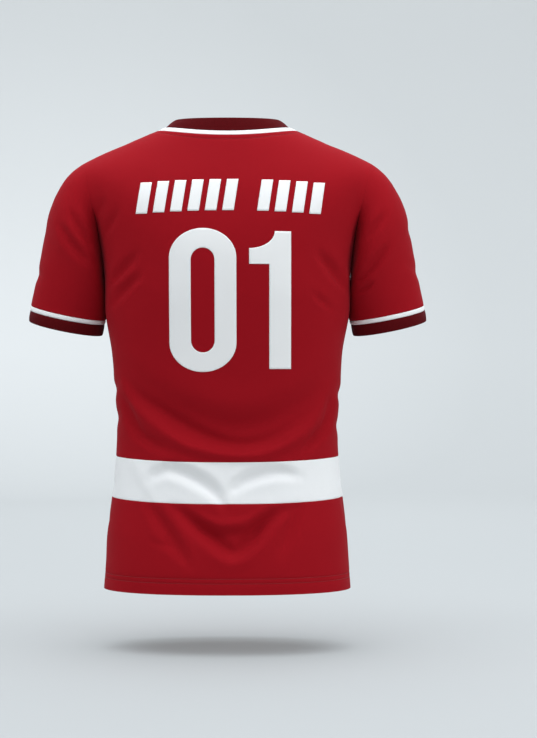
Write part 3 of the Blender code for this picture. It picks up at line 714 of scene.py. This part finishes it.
def torso_panel(name, first, last, side, base, extra=(), pulled=()):
    """One of the six panels: its mesh and wall."""
    grid, uv = torso_surface(first, last, side, base, extra, pulled)
    finish, slot = (white_knit, "white_knit") if first == BAND_TOP else (red_knit, "red_knit")
    mesh = grid_mesh(name, grid[:, ::-side], uv[:, ::-side])
    obj = walled(placed(name + "_cloth", mesh, finish, name), CLOTH)
    declare(obj, torso_base(first, last, side, extra))
    return grid


def sleeve_base(first, last, step, columns):
    """(distances, unfolded grid) of a stretch of the left sleeve."""
    at = spread(last - first, step) + first
    turns = np.linspace(0.0, 1.0, columns + 1)[:-1]
    return at, np.array([sleeve_ring(place, turns) for place in at])


def sleeve_surface(at, grid, mirror, bulge=0.0):
    """(finished grid, UV) of a stretch of a sleeve. mirror: 1 for the left one and -1 for the right one."""
    first, last = at[0], at[-1]
    normals = outward(grid)
    flat = (grid * (mirror, 1, 1)).reshape(-1, 3)
    middle_y = smooth(at, SLEEVE["at"], SLEEVE["mid_y"])[:, None]
    middle_y = np.broadcast_to(middle_y, grid.shape[:2]).reshape(-1)
    calm = soft_step(at / FOLD_FADE)[:, None]
    tight = soft_step((SLEEVE_END + SLEEVE_PAST_END - at) / SLEEVE_FADE)[:, None]
    push = fold_push(flat, "sleeve", middle_y).reshape(grid.shape[:2]) * calm * tight
    push = push + unevenness(flat).reshape(grid.shape[:2]) * calm
    from_start, to_end = (at - first)[:, None], (last - at)[:, None]
    push = push + edge_dip(from_start) * seam_share(grid) + edge_dip(to_end)
    push = push - bulge * np.sin(math.pi * from_start / (last - first))
    finished = (grid - normals * push[..., None]) * (mirror, 1, 1)
    finished[..., 1] += crease(flat).reshape(grid.shape[:2])
    girth = lengths(grid[len(grid) // 2])[-1]
    turns = np.linspace(0.0, 1.0, grid.shape[1] + 1)[:-1]
    uv = np.stack(np.broadcast_arrays(turns[None] * girth, -at[:, None]), axis=-1)
    return finished, uv


def ribbed_band(name, outer, normals):
    """A folded band of rib knit: an outer layer, a rounded free edge and an inner layer, all one closed
    mesh. outer: the outer surface, from the sewn edge to the free one."""
    rows, columns, _ = outer.shape
    ribs = RIB_HEIGHT / 2 * (np.cos(2 * math.pi / COLUMNS_A_RIB * np.arange(columns)) - 1)
    share = np.linspace(0.0, 1.0, rows)[:, None]
    swell = RIB_SWELL * np.sin(math.pi * share) ** SWELL_POWER
    growth = np.sin(math.pi * np.clip(share, RIB_START, 1.0) / 2)
    face = outer + normals * (ribs * growth + swell)[..., None]
    way = unit(outer[-1] - outer[-2])
    turns = np.linspace(0.0, math.pi, LIP_STEPS)[1:-1]
    half = RIB_WALL / 2
    middle = outer[-1] - normals[-1] * half
    lip = [
        middle + normals[-1] * (half * math.cos(a) + ribs[:, None] * (0.5 + 0.5 * math.cos(a)))
        + way * half * math.sin(a)
        for a in turns
    ]
    inner = (outer - normals * RIB_WALL)[::-1]
    grid = np.concatenate([face, np.array(lip), inner])
    across = np.arange(columns) * RIB_PITCH / COLUMNS_A_RIB
    down = lengths(grid[:, 0])
    uv = np.stack(np.broadcast_arrays(across[None], down[:, None]), axis=-1)
    mesh = grid_mesh(name, grid, uv, closed_columns=True, closed_rows=True)
    turn_outwards(mesh)
    return placed(name + "_rib", mesh, maroon_rib, name)


def turn_outwards(mesh):
    bm = bmesh.new()
    bm.from_mesh(mesh)
    bmesh.ops.recalc_face_normals(bm, faces=bm.faces[:])
    bm.to_mesh(mesh)
    bm.free()
    mesh.shade_smooth()


# ---------------------------------------------------------------- materials
ROW_RELIEF = 0.35  # the courses' share of the knit's relief
FINE_SHARE = 0.6  # the fine noise's share of the unevenness
# Painted shade: the knit's colour is darker in the grooves than on the tops of the stitches.
BASE_SHADE, PAINTED_GROOVE_SHADE = 0.90, 0.14  # lightness in the grooves, and what a stitch's top adds
KNIT_ROUGH_SPREAD, GRAIN_ROUGH_SPREAD = 0.16, 0.12


def new_material(name):
    """(material, node tree, shader)"""
    made = bpy.data.materials.new(name)
    made.use_nodes = True
    return made, made.node_tree, made.node_tree.nodes["Principled BSDF"]


def feed(tree, socket, value):
    """Links a socket to another node's, or sets it."""
    if isinstance(value, bpy.types.NodeSocket):
        tree.links.new(value, socket)
    else:
        socket.default_value = value


def node_of(tree, kind, **inputs):
    """A new node, with some of its inputs linked or set."""
    made = tree.nodes.new(kind)
    for key, value in inputs.items():
        feed(tree, made.inputs[key], value)
    return made


def maths(tree, operation, *values):
    made = tree.nodes.new("ShaderNodeMath")
    made.operation = operation
    for socket, value in zip(made.inputs, values):
        feed(tree, socket, value)
    return made.outputs[0]


def knit_material(name, colour, roughness, sheen, sheen_tint, mottle=0.06):
    """Knitted cloth: columns of stitches with rows across them, in slightly uneven colour, with painted shade
    in the grooves between the stitches.
    """
    wale, course, bump = 0.00105, 0.00085, 0.35
    made, tree, shader = new_material(name)
    uv = tree.nodes.new("ShaderNodeUVMap")
    uv.uv_map = "cloth"
    parts = node_of(tree, "ShaderNodeSeparateXYZ", Vector=uv.outputs[0])
    u, v = parts.outputs[0], parts.outputs[1]
    columns = maths(tree, "ABSOLUTE", maths(tree, "SINE", maths(tree, "MULTIPLY", u, math.pi / wale)))
    slant = maths(tree, "PINGPONG", maths(tree, "DIVIDE", u, wale), 0.5)
    phase = maths(tree, "ADD", maths(tree, "DIVIDE", v, course), slant)
    rows = maths(tree, "SINE", maths(tree, "MULTIPLY", phase, 2 * math.pi))
    courses = maths(tree, "MULTIPLY_ADD", rows, ROW_RELIEF, 1 - ROW_RELIEF)
    height = maths(tree, "MULTIPLY", columns, courses)
    relief = node_of(tree, "ShaderNodeBump", Strength=bump, Distance=0.00022, Height=height)
    place = tree.nodes.new("ShaderNodeTexCoord").outputs["Object"]
    fine = node_of(tree, "ShaderNodeTexNoise", Vector=place, Scale=230.0, Detail=3.0)
    broad = node_of(tree, "ShaderNodeTexNoise", Vector=place, Scale=14.0, Detail=2.0)
    slow = maths(tree, "MULTIPLY", broad.outputs[0], 1 - FINE_SHARE)
    worn = maths(tree, "MULTIPLY_ADD", fine.outputs[0], FINE_SHARE, slow)
    uneven = maths(tree, "MULTIPLY_ADD", worn, 2 * mottle, BASE_SHADE - mottle)
    # painted shade: the colour darkens in the grooves and lightens on the stitches' tops, on top of the
    # random mottle
    mottle_and_groove_shade = maths(tree, "MULTIPLY_ADD", height, PAINTED_GROOVE_SHADE, uneven)
    mixed = tree.nodes.new("ShaderNodeMix")
    mixed.data_type = "RGBA"
    mixed.blend_type = "MULTIPLY"
    mixed.inputs[0].default_value = 1.0
    mixed.inputs[6].default_value = (*colour, 1.0)
    tree.links.new(mottle_and_groove_shade, mixed.inputs[7])
    tree.links.new(mixed.outputs[2], shader.inputs["Base Color"])
    rough = maths(tree, "MULTIPLY_ADD", worn, KNIT_ROUGH_SPREAD, roughness - KNIT_ROUGH_SPREAD / 2)
    tree.links.new(rough, shader.inputs["Roughness"])
    tree.links.new(relief.outputs[0], shader.inputs["Normal"])
    shader.inputs["Specular IOR Level"].default_value = 0.04
    shader.inputs["Sheen Weight"].default_value = sheen
    shader.inputs["Sheen Roughness"].default_value = 0.42
    shader.inputs["Sheen Tint"].default_value = (*sheen_tint, 1.0)
    return made


def plain_material(name, colour, roughness, scale, bump):
    """A smooth finish with a fine grain, for thread, print and the stage."""
    made, tree, shader = new_material(name)
    shader.inputs["Base Color"].default_value = (*colour, 1.0)
    place = tree.nodes.new("ShaderNodeTexCoord").outputs["Object"]
    grain = node_of(tree, "ShaderNodeTexNoise", Vector=place, Scale=scale, Detail=2.0)
    low = roughness - GRAIN_ROUGH_SPREAD / 2
    rough = maths(tree, "MULTIPLY_ADD", grain.outputs[0], GRAIN_ROUGH_SPREAD, low)
    tree.links.new(rough, shader.inputs["Roughness"])
    relief = node_of(tree, "ShaderNodeBump", Strength=bump, Distance=0.0002, Height=grain.outputs[0])
    tree.links.new(relief.outputs[0], shader.inputs["Normal"])
    return made


red_knit = knit_material("red_knit", (0.296, 0.0050, 0.0104), 0.74, 0.032, (1.0, 0.55, 0.65))
white_knit = knit_material("white_knit", (0.82, 0.82, 0.82), 0.72, 0.03, (1.0, 1.0, 1.0), mottle=0.02)
maroon_rib = knit_material("maroon_rib", (0.085, 0.0025, 0.004), 0.80, 0.08, (1.0, 0.6, 0.7))
white_print = plain_material("white_print", (0.79, 0.785, 0.78), 0.50, 900.0, 0.25)
red_thread = plain_material("red_thread", (0.25, 0.008, 0.014), 0.60, 3000.0, 0.30)


# ---------------------------------------------------------------- the torso, the collar and the sleeves
def torso(upper):
    """The six torso panels. Returns the finished grids of the panels that carry stitches or print."""
    grids = {}
    for side, name in ((1, "back"), (-1, "front")):
        grids[name + "_upper"] = torso_panel(
            name + "_upper", NECK, BAND_TOP, side, upper[name], NECK_ROWS, (NECK_ROW,)
        )
        torso_panel(name + "_band", BAND_TOP, BAND_BOTTOM, side, torso_base(BAND_TOP, BAND_BOTTOM, side))
        _, down = torso_lines(BAND_BOTTOM, HEM, side)
        rows = [down[-1] - place for place in HEM_ROWS]
        near = [row + shift for row in rows for shift in STITCH_ROW_SHIFTS]
        base = torso_base(BAND_BOTTOM, HEM, side, near)
        grids[name + "_lower"] = torso_panel(name + "_lower", BAND_BOTTOM, HEM, side, base, near, rows)
    return grids


def collar():
    """The white stripe at the neck seam, and the ribbed band above it."""
    columns = round(COLLAR_QUARTER / (RIB_PITCH / COLUMNS_A_RIB))

    def ring(height):
        back, front = collar_row(height, 1, columns), collar_row(height, -1, columns)
        return np.concatenate([back, front[-2:0:-1]])

    def even_ring(height):
        """The same ring with evenly spaced points, a whole number of ribs round."""
        line = ring(height)
        line = np.concatenate([line, line[:1]])
        count = 4 * COLUMNS_A_RIB * round(columns / COLUMNS_A_RIB)
        return along(line, np.linspace(0.0, lengths(line)[-1], count + 1)[:-1])

    grid = np.array([even_ring(height) for height in COLLAR_HEIGHTS])
    normals = outward(grid)
    away = lengths(grid[:, 0])
    bulge = COLLAR_BULGE * np.sin(math.pi * np.array(COLLAR_HEIGHTS))
    push = edge_dip(away) + edge_dip(away[-1] - away) - bulge
    finished = grid - normals * push[:, None, None]
    across = lengths(grid[0])
    uv = np.stack(np.broadcast_arrays(across[None], -away[:, None]), axis=-1)
    plain = slice(None, None, COLUMNS_A_RIB)
    mesh = grid_mesh("collar_stripe", finished[:, plain], uv[:, plain], closed_columns=True)
    face_out(mesh, COLLAR_MIDDLE)
    stripe = placed("collar_stripe_knit", mesh, white_knit, "collar_stripe")
    declare(walled(stripe, COLLAR_STRIPE_WALL), grid)
    rib_grid = np.array([even_ring(height) for height in np.linspace(1.0, 3.0, COLLAR_RIB_ROWS)])
    band = ribbed_band("collar", rib_grid, outward(rib_grid))
    declare(band, rib_grid)


def outward(grid):
    """Normals of a ring-shaped grid, turned away from its middle."""
    normals = normals_of(grid, True)
    middle = grid.reshape(-1, 3).mean(axis=0)
    return normals if (normals * (grid - middle)).sum() > 0 else -normals


def face_out(mesh, middle):
    """Turns a mesh's faces round if most of them look towards a point."""
    total = sum((f.center - Vector(middle)).dot(f.normal) * f.area for f in mesh.polygons)
    if total < 0:
        mesh.flip_normals()


def tube(name, ending, at, base, mirror, finish, wall, bulge=0.0):
    """A stretch of a sleeve, open at both ends."""
    grid, uv = sleeve_surface(at, base, mirror, bulge)
    mesh = grid_mesh(name, grid, uv, closed_columns=True)
    face_out(mesh, grid.reshape(-1, 3).mean(axis=0))
    return walled(placed(name + ending, mesh, finish, name), wall)


def sleeves(at, base):
    """Both sleeves with their white stripes and ribbed cuffs. base: the left sleeve's softened grid."""
    girth = lengths(base[-1])[-1]
    stripe_at, stripe_base = sleeve_base(SLEEVE_END, STRIPE_END, STRIPE_STEP, base.shape[1])
    turns = np.linspace(0.0, 1.0, COLUMNS_A_RIB * round(girth / RIB_PITCH) + 1)[:-1]
    cuff_at = np.linspace(STRIPE_END, CUFF_END - CUFF_LIP, CUFF_ROWS)
    cuff_base = np.array([sleeve_ring(place, turns) for place in cuff_at])
    for word, mirror in (("left", 1), ("right", -1)):
        sleeve = tube("sleeve_" + word, "_cloth", at, base, mirror, red_knit, CLOTH)
        stripe = tube("cuff_stripe_" + word, "_knit", stripe_at, stripe_base, mirror,
                      white_knit, STRIPE_WALL, STRIPE_BULGE)
        declare(sleeve, base)
        outer = cuff_base * (mirror, 1, 1)
        declare(ribbed_band("cuff_" + word, outer, outward(outer)), outer)


# ---------------------------------------------------------------- the print
def slot_outline(middle_x, middle_z, width, height, end):
    """Outline with straight sides and half-elliptical ends, such as the outside of a zero."""
    arc = np.linspace(0.0, math.pi, ARC_POINTS)
    x, z = width / 2 * np.cos(arc), end * np.sin(arc)
    top = [(middle_x + a, middle_z + height / 2 - end + b) for a, b in zip(x, z)]
    bottom = [(middle_x - a, middle_z - height / 2 + end - b) for a, b in zip(x, z)]
    return top + bottom


def zero_outlines():
    slot_width = ZERO_WIDTH - 2 * NUMBER_STROKE
    slot_height = ZERO_HEIGHT - 2 * END_STROKE * NUMBER_STROKE
    outside = slot_outline(ZERO_MIDDLE_X, NUMBER_MIDDLE_Z, ZERO_WIDTH, ZERO_HEIGHT, ZERO_END)
    inside = slot_outline(ZERO_MIDDLE_X, NUMBER_MIDDLE_Z, slot_width, slot_height, ZERO_SLOT_END)
    return [outside, inside]


def one_outlines():
    """The stem and its flag, whose upper edge hollows as it climbs to the stem. It is read from behind,
    so the flag points to the jersey's left, at +X."""
    left, right = ONE_MIDDLE_X + NUMBER_STROKE / 2, ONE_MIDDLE_X - NUMBER_STROKE / 2
    top, foot = NUMBER_MIDDLE_Z + ONE_HEIGHT / 2, NUMBER_MIDDLE_Z - ONE_HEIGHT / 2
    meeting = left - FLAG_INSET * NUMBER_STROKE
    tip = left + ONE_FLAG
    arc = np.linspace(0.0, math.pi / 2, ARC_POINTS // 2 + 1)
    flag = zip(tip - (tip - meeting) * np.sin(arc), top - FLAG_TOP * np.cos(arc))
    body = [(right, top), (right, foot), (left, foot), (left, top - FLAG_BOTTOM)]
    return [body + [(tip, top - FLAG_BOTTOM), *flag]]


def bar_outlines(from_middle):
    """A slanted bar. The row arches a little, so bars away from the middle sit lower."""
    half = sum(BAR_GROUPS) * BAR_PITCH / 2
    top = BAR_TOP - BAR_ARCH * (from_middle / half) ** 2
    middle_x = BARS_MIDDLE_X + from_middle
    x0, x1 = middle_x - BAR_WIDTH / 2, middle_x + BAR_WIDTH / 2
    lean = BAR_SLANT / 2
    low = top - BAR_HEIGHT
    return [[(x0 - lean, top), (x1 - lean, top), (x1 + lean, low), (x0 + lean, low)]]


def flat_mesh(name, outlines):
    """A filled flat shape in the plane y = 0, from its outline and its holes."""
    curve = bpy.data.curves.new(name, "CURVE")
    curve.dimensions = "2D"
    curve.fill_mode = "BOTH"
    for outline in outlines:
        spline = curve.splines.new("POLY")
        spline.points.add(len(outline) - 1)
        for point, (x, z) in zip(spline.points, outline):
            point.co = (x, z, 0.0, 1.0)
        spline.use_cyclic_u = True
    holder = linked(name, curve)
    graph = bpy.context.evaluated_depsgraph_get()
    mesh = bpy.data.meshes.new_from_object(holder.evaluated_get(graph))
    bpy.data.objects.remove(holder)
    for vert in mesh.vertices:
        vert.co = (vert.co.x, 0.0, vert.co.y)
    return mesh


def printed(name, outlines, cloth_tree):
    """A flat shape cut into small cells and laid on the folded back panel."""
    mesh = flat_mesh(name, outlines)
    bm = bmesh.new()
    bm.from_mesh(mesh)
    bmesh.ops.remove_doubles(bm, verts=bm.verts[:], dist=PRINT_MERGE)
    bmesh.ops.dissolve_limit(bm, angle_limit=PRINT_FLAT_ANGLE, verts=bm.verts[:], edges=bm.edges[:])
    points = np.array([v.co for v in bm.verts])
    for axis, normal in ((0, (1, 0, 0)), (2, (0, 0, 1))):
        low, high = points[:, axis].min(), points[:, axis].max()
        cells = math.ceil((high - low) / PRINT_STEP)
        for k in range(1, cells):
            place = Vector(normal) * (low + (high - low) * k / cells)
            everything = bm.verts[:] + bm.edges[:] + bm.faces[:]
            bmesh.ops.bisect_plane(
                bm, geom=everything, dist=PRINT_CUT_MARGIN, plane_co=place, plane_no=normal
            )
    bmesh.ops.triangulate(bm, faces=bm.faces[:])
    for vert in bm.verts:
        start = Vector((vert.co.x, PRINT_ABOVE, vert.co.z))
        place, normal, _, _ = cloth_tree.ray_cast(start, Vector((0, -1, 0)))
        vert.co = place + normal * (PRINT_LIFT + PRINT_WALL)
    bm.to_mesh(mesh)
    bm.free()
    face_out(mesh, (0.0, 0.0, points[:, 2].mean()))
    mesh.shade_smooth()
    walled(placed(name + "_print", mesh, white_print, name), PRINT_WALL)


def back_print(grid):
    """The number and the row of bars, laid on the outer side of the back panel."""
    rows, columns, _ = grid.shape
    index = np.arange(rows * columns).reshape(rows, columns)
    faces = np.stack([index[:-1, :-1], index[:-1, 1:], index[1:, 1:], index[1:, :-1]], axis=-1)
    tree = BVHTree.FromPolygons(grid.reshape(-1, 3).tolist(), faces.reshape(-1, 4).tolist())
    printed("number_zero", zero_outlines(), tree)
    printed("number_one", one_outlines(), tree)
    last = sum(BAR_GROUPS)
    places = [place for place in range(last + 1) if place != BAR_GROUPS[0]]
    for number, place in enumerate(places, 1):
        printed(f"name_bar_{number:02d}", bar_outlines((last / 2 - place) * BAR_PITCH), tree)


# ---------------------------------------------------------------- stitches
def stitch_rows(name, lines):
    """Small rounded stitches along lines of cloth points, all in one mesh."""
    sides, rings = 6, 5
    spin = np.linspace(0.0, 2 * math.pi, sides + 1)[:-1]
    run = np.linspace(0.0, math.pi, rings)[1:-1]
    one = [(-STITCH_LENGTH / 2, 0.0, 0.0)]
    for a in run:
        swell = STITCH_RADIUS * math.sin(a) ** 0.5
        one += [(-STITCH_LENGTH / 2 * math.cos(a), swell * math.cos(b), swell * math.sin(b)) for b in spin]
    one += [(STITCH_LENGTH / 2, 0.0, 0.0)]
    one = np.array(one)
    faces = []
    for j in range(sides):
        k = (j + 1) % sides
        faces.append((0, 1 + k, 1 + j))
        for r in range(rings - 3):
            low, high = 1 + r * sides, 1 + (r + 1) * sides
            faces.append((low + j, low + k, high + k, high + j))
        last = 1 + (rings - 3) * sides
        faces.append((last + j, last + k, len(one) - 1))
    verts, polygons = [], []
    for line, up in lines:
        at = lengths(line)
        middles = np.arange(STITCH_PITCH / 2, at[-1], STITCH_PITCH)
        places, ups = along(line, middles), unit(along_values(up, at, middles))
        ways = unit(along(line, middles + STITCH_LENGTH / 2) - along(line, middles - STITCH_LENGTH / 2))
        across = unit(np.cross(ups, ways))
        for place, way, side, top in zip(places, ways, across, ups):
            start = len(verts)
            verts += (place + one[:, :1] * way + one[:, 1:2] * side + one[:, 2:] * top).tolist()
            polygons += [[start + i for i in face] for face in faces]
    mesh = bpy.data.meshes.new(name)
    mesh.from_pydata(verts, [], polygons)
    mesh.shade_smooth()
    placed(name, mesh, red_thread)


def along_values(values, at, wanted):
    return np.stack([np.interp(wanted, at, values[:, k]) for k in range(3)], axis=1)


def stitches(grids):
    """Twin rows round the hem, and one row round the neck."""
    hem, neck = [], []
    for side, name in ((1, "back"), (-1, "front")):
        lower, upper = grids[name + "_lower"], grids[name + "_upper"]
        down = lengths(lower[:, lower.shape[1] // 2])
        for place in HEM_ROWS:
            row = int(np.abs(down[-1] - place - down).argmin())
            up = unit(normals_of(lower, False)[row] * side)
            hem.append((lower[row] + up * STITCH_RADIUS * STITCH_RISE, up))
        down = lengths(upper[:, upper.shape[1] // 2])
        row = int(np.abs(down - NECK_ROW).argmin())
        up = unit(normals_of(upper, False)[row] * side)
        neck.append((upper[row] + up * STITCH_RADIUS * STITCH_RISE, up))
    stitch_rows("hem_stitches", hem)
    stitch_rows("neck_stitches", neck)


# ---------------------------------------------------------------- stage, light and camera
def backdrop_material(floor_z):
    """Matt paper with painted light: it glows a little, more so up the wall than on the floor, and in a pool
    on the far wall towards +X.
    """
    made = plain_material("backdrop", (0.330, 0.345, 0.350), 0.90, 30.0, 0.0)
    tree = made.node_tree
    shader = tree.nodes["Principled BSDF"]
    shader.inputs["Specular IOR Level"].default_value = 0.0
    place = tree.nodes.new("ShaderNodeTexCoord").outputs["Object"]
    height = node_of(tree, "ShaderNodeSeparateXYZ", Vector=place).outputs[2]
    rise = maths(tree, "DIVIDE", maths(tree, "SUBTRACT", height, floor_z), GLOW_RISE)
    glow = maths(tree, "MULTIPLY_ADD", maths(tree, "MINIMUM", rise, 1.0), WALL_GLOW - FLOOR_GLOW, FLOOR_GLOW)
    # painted pool of light on the far wall towards +X
    away = tree.nodes.new("ShaderNodeVectorMath")
    away.operation = "DISTANCE"
    tree.links.new(place, away.inputs[0])
    away.inputs[1].default_value = LEFT_GLOW_PLACE
    near = maths(tree, "SUBTRACT", 1.0, maths(tree, "DIVIDE", away.outputs["Value"], LEFT_GLOW_REACH))
    near = maths(tree, "MULTIPLY", maths(tree, "MAXIMUM", near, 0.0), LEFT_GLOW)
    tree.links.new(maths(tree, "ADD", glow, near), shader.inputs["Emission Strength"])
    shader.inputs["Emission Color"].default_value = (*PAPER_GLOW, 1.0)
    return made


def stage():
    """A round pale floor that sweeps up into a wall all round, so that every view has the same ground."""
    floor_z = cad_low[2] - FLOOR_GAP
    turn = np.linspace(0.0, math.pi / 2, SWEEP_STEPS)
    profile = [(FLOOR_PLATE * FLOOR_RADIUS, floor_z)]
    profile += [(FLOOR_RADIUS + SWEEP * math.sin(a), floor_z + SWEEP * (1 - math.cos(a))) for a in turn]
    profile += [(FLOOR_RADIUS + SWEEP, floor_z + WALL_HEIGHT)]
    round_angles = np.arange(STAGE_SIDES) * 2 * math.pi / STAGE_SIDES
    verts = [(r * math.cos(a), r * math.sin(a), z) for r, z in profile for a in round_angles]
    faces = [tuple(range(STAGE_SIDES))]
    for first in range(0, STAGE_SIDES * (len(profile) - 1), STAGE_SIDES):
        for k in range(STAGE_SIDES):
            after = (k + 1) % STAGE_SIDES
            faces.append((first + k, first + STAGE_SIDES + k, first + STAGE_SIDES + after, first + after))
    mesh = bpy.data.meshes.new("backdrop")
    mesh.from_pydata(verts, [], faces)
    mesh.shade_smooth()
    mesh.materials.append(backdrop_material(floor_z))
    linked("backdrop", mesh)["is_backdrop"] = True


# White soft boxes: where each one hangs, what it is aimed at, its width and height, and its power.
LIGHT_COLUMNS = ("name", "place", "aim", "size", "watts")
LIGHTS = (
    ("top", (0.10, 0.36, 1.80), (0.0, 0.1, -0.4), (1.9, 2.3), 27.0),
    ("right", (-2.00, 0.90, -0.10), (0.0, 0.0, -0.5), (0.8, 1.2), 12.0),
    ("left", (2.10, 0.80, -0.10), (0.0, 0.0, -0.5), (0.8, 1.2), 4.5),
    ("front", (0.20, 3.60, -0.25), (0.0, 0.0, -0.4), (2.8, 1.0), 3.8),
    ("wall", (0.00, -2.60, 2.60), (0.0, -5.0, -0.3), (3.0, 1.6), 63.0),
)
SKY = (0.90, 0.95, 1.00)
SKY_STRENGTH = 1.98


def lights():
    for light in (dict(zip(LIGHT_COLUMNS, row)) for row in LIGHTS):
        data = bpy.data.lights.new(light["name"], "AREA")
        data.shape = "RECTANGLE"
        data.size, data.size_y = light["size"]
        data.energy = light["watts"]
        obj = linked(light["name"], data)
        obj.location = light["place"]
        obj.visible_camera = False
        way = Vector(light["aim"]) - obj.location
        obj.rotation_euler = way.to_track_quat("-Z", "Y").to_euler()
    world = bpy.data.worlds.new("studio")
    bpy.context.scene.world = world
    world.use_nodes = True
    background = world.node_tree.nodes["Background"]
    background.inputs["Color"].default_value = (*SKY, 1.0)
    background.inputs["Strength"].default_value = SKY_STRENGTH


def camera():
    data = bpy.data.cameras.new("camera")
    data.sensor_fit = "VERTICAL"
    data.sensor_height = SENSOR
    data.lens = SENSOR * CAMERA_DISTANCE / VIEW_HEIGHT
    data.clip_end = CLIP_END
    obj = linked("camera", data)
    obj.location = (CAMERA_X, CAMERA_DISTANCE, CAMERA_Z)
    obj.rotation_euler = (math.pi / 2, 0.0, math.pi)
    bpy.context.scene.camera = obj


camera()
stage()
lights()
bpy.context.scene.view_settings.view_transform = "Standard"

sleeve_at, left_sleeve = sleeve_base(0.0, SLEEVE_END, STEP, SLEEVE_COLUMNS)
raw = {
    "back": torso_base(NECK, BAND_TOP, 1, NECK_ROWS),
    "front": torso_base(NECK, BAND_TOP, -1, NECK_ROWS),
    "sleeve": left_sleeve,
}
amounts = {name: softness(grid) for name, grid in raw.items()}
amounts["sleeve"] *= soft_step((SOFT_SLEEVE[0] - sleeve_at) / SOFT_SLEEVE[1])[:, None]
shoulders = softened(raw, amounts)
finished_grids = torso(shoulders)
collar()
sleeves(sleeve_at, shoulders["sleeve"])
back_print(finished_grids["back_upper"])
stitches(finished_grids)
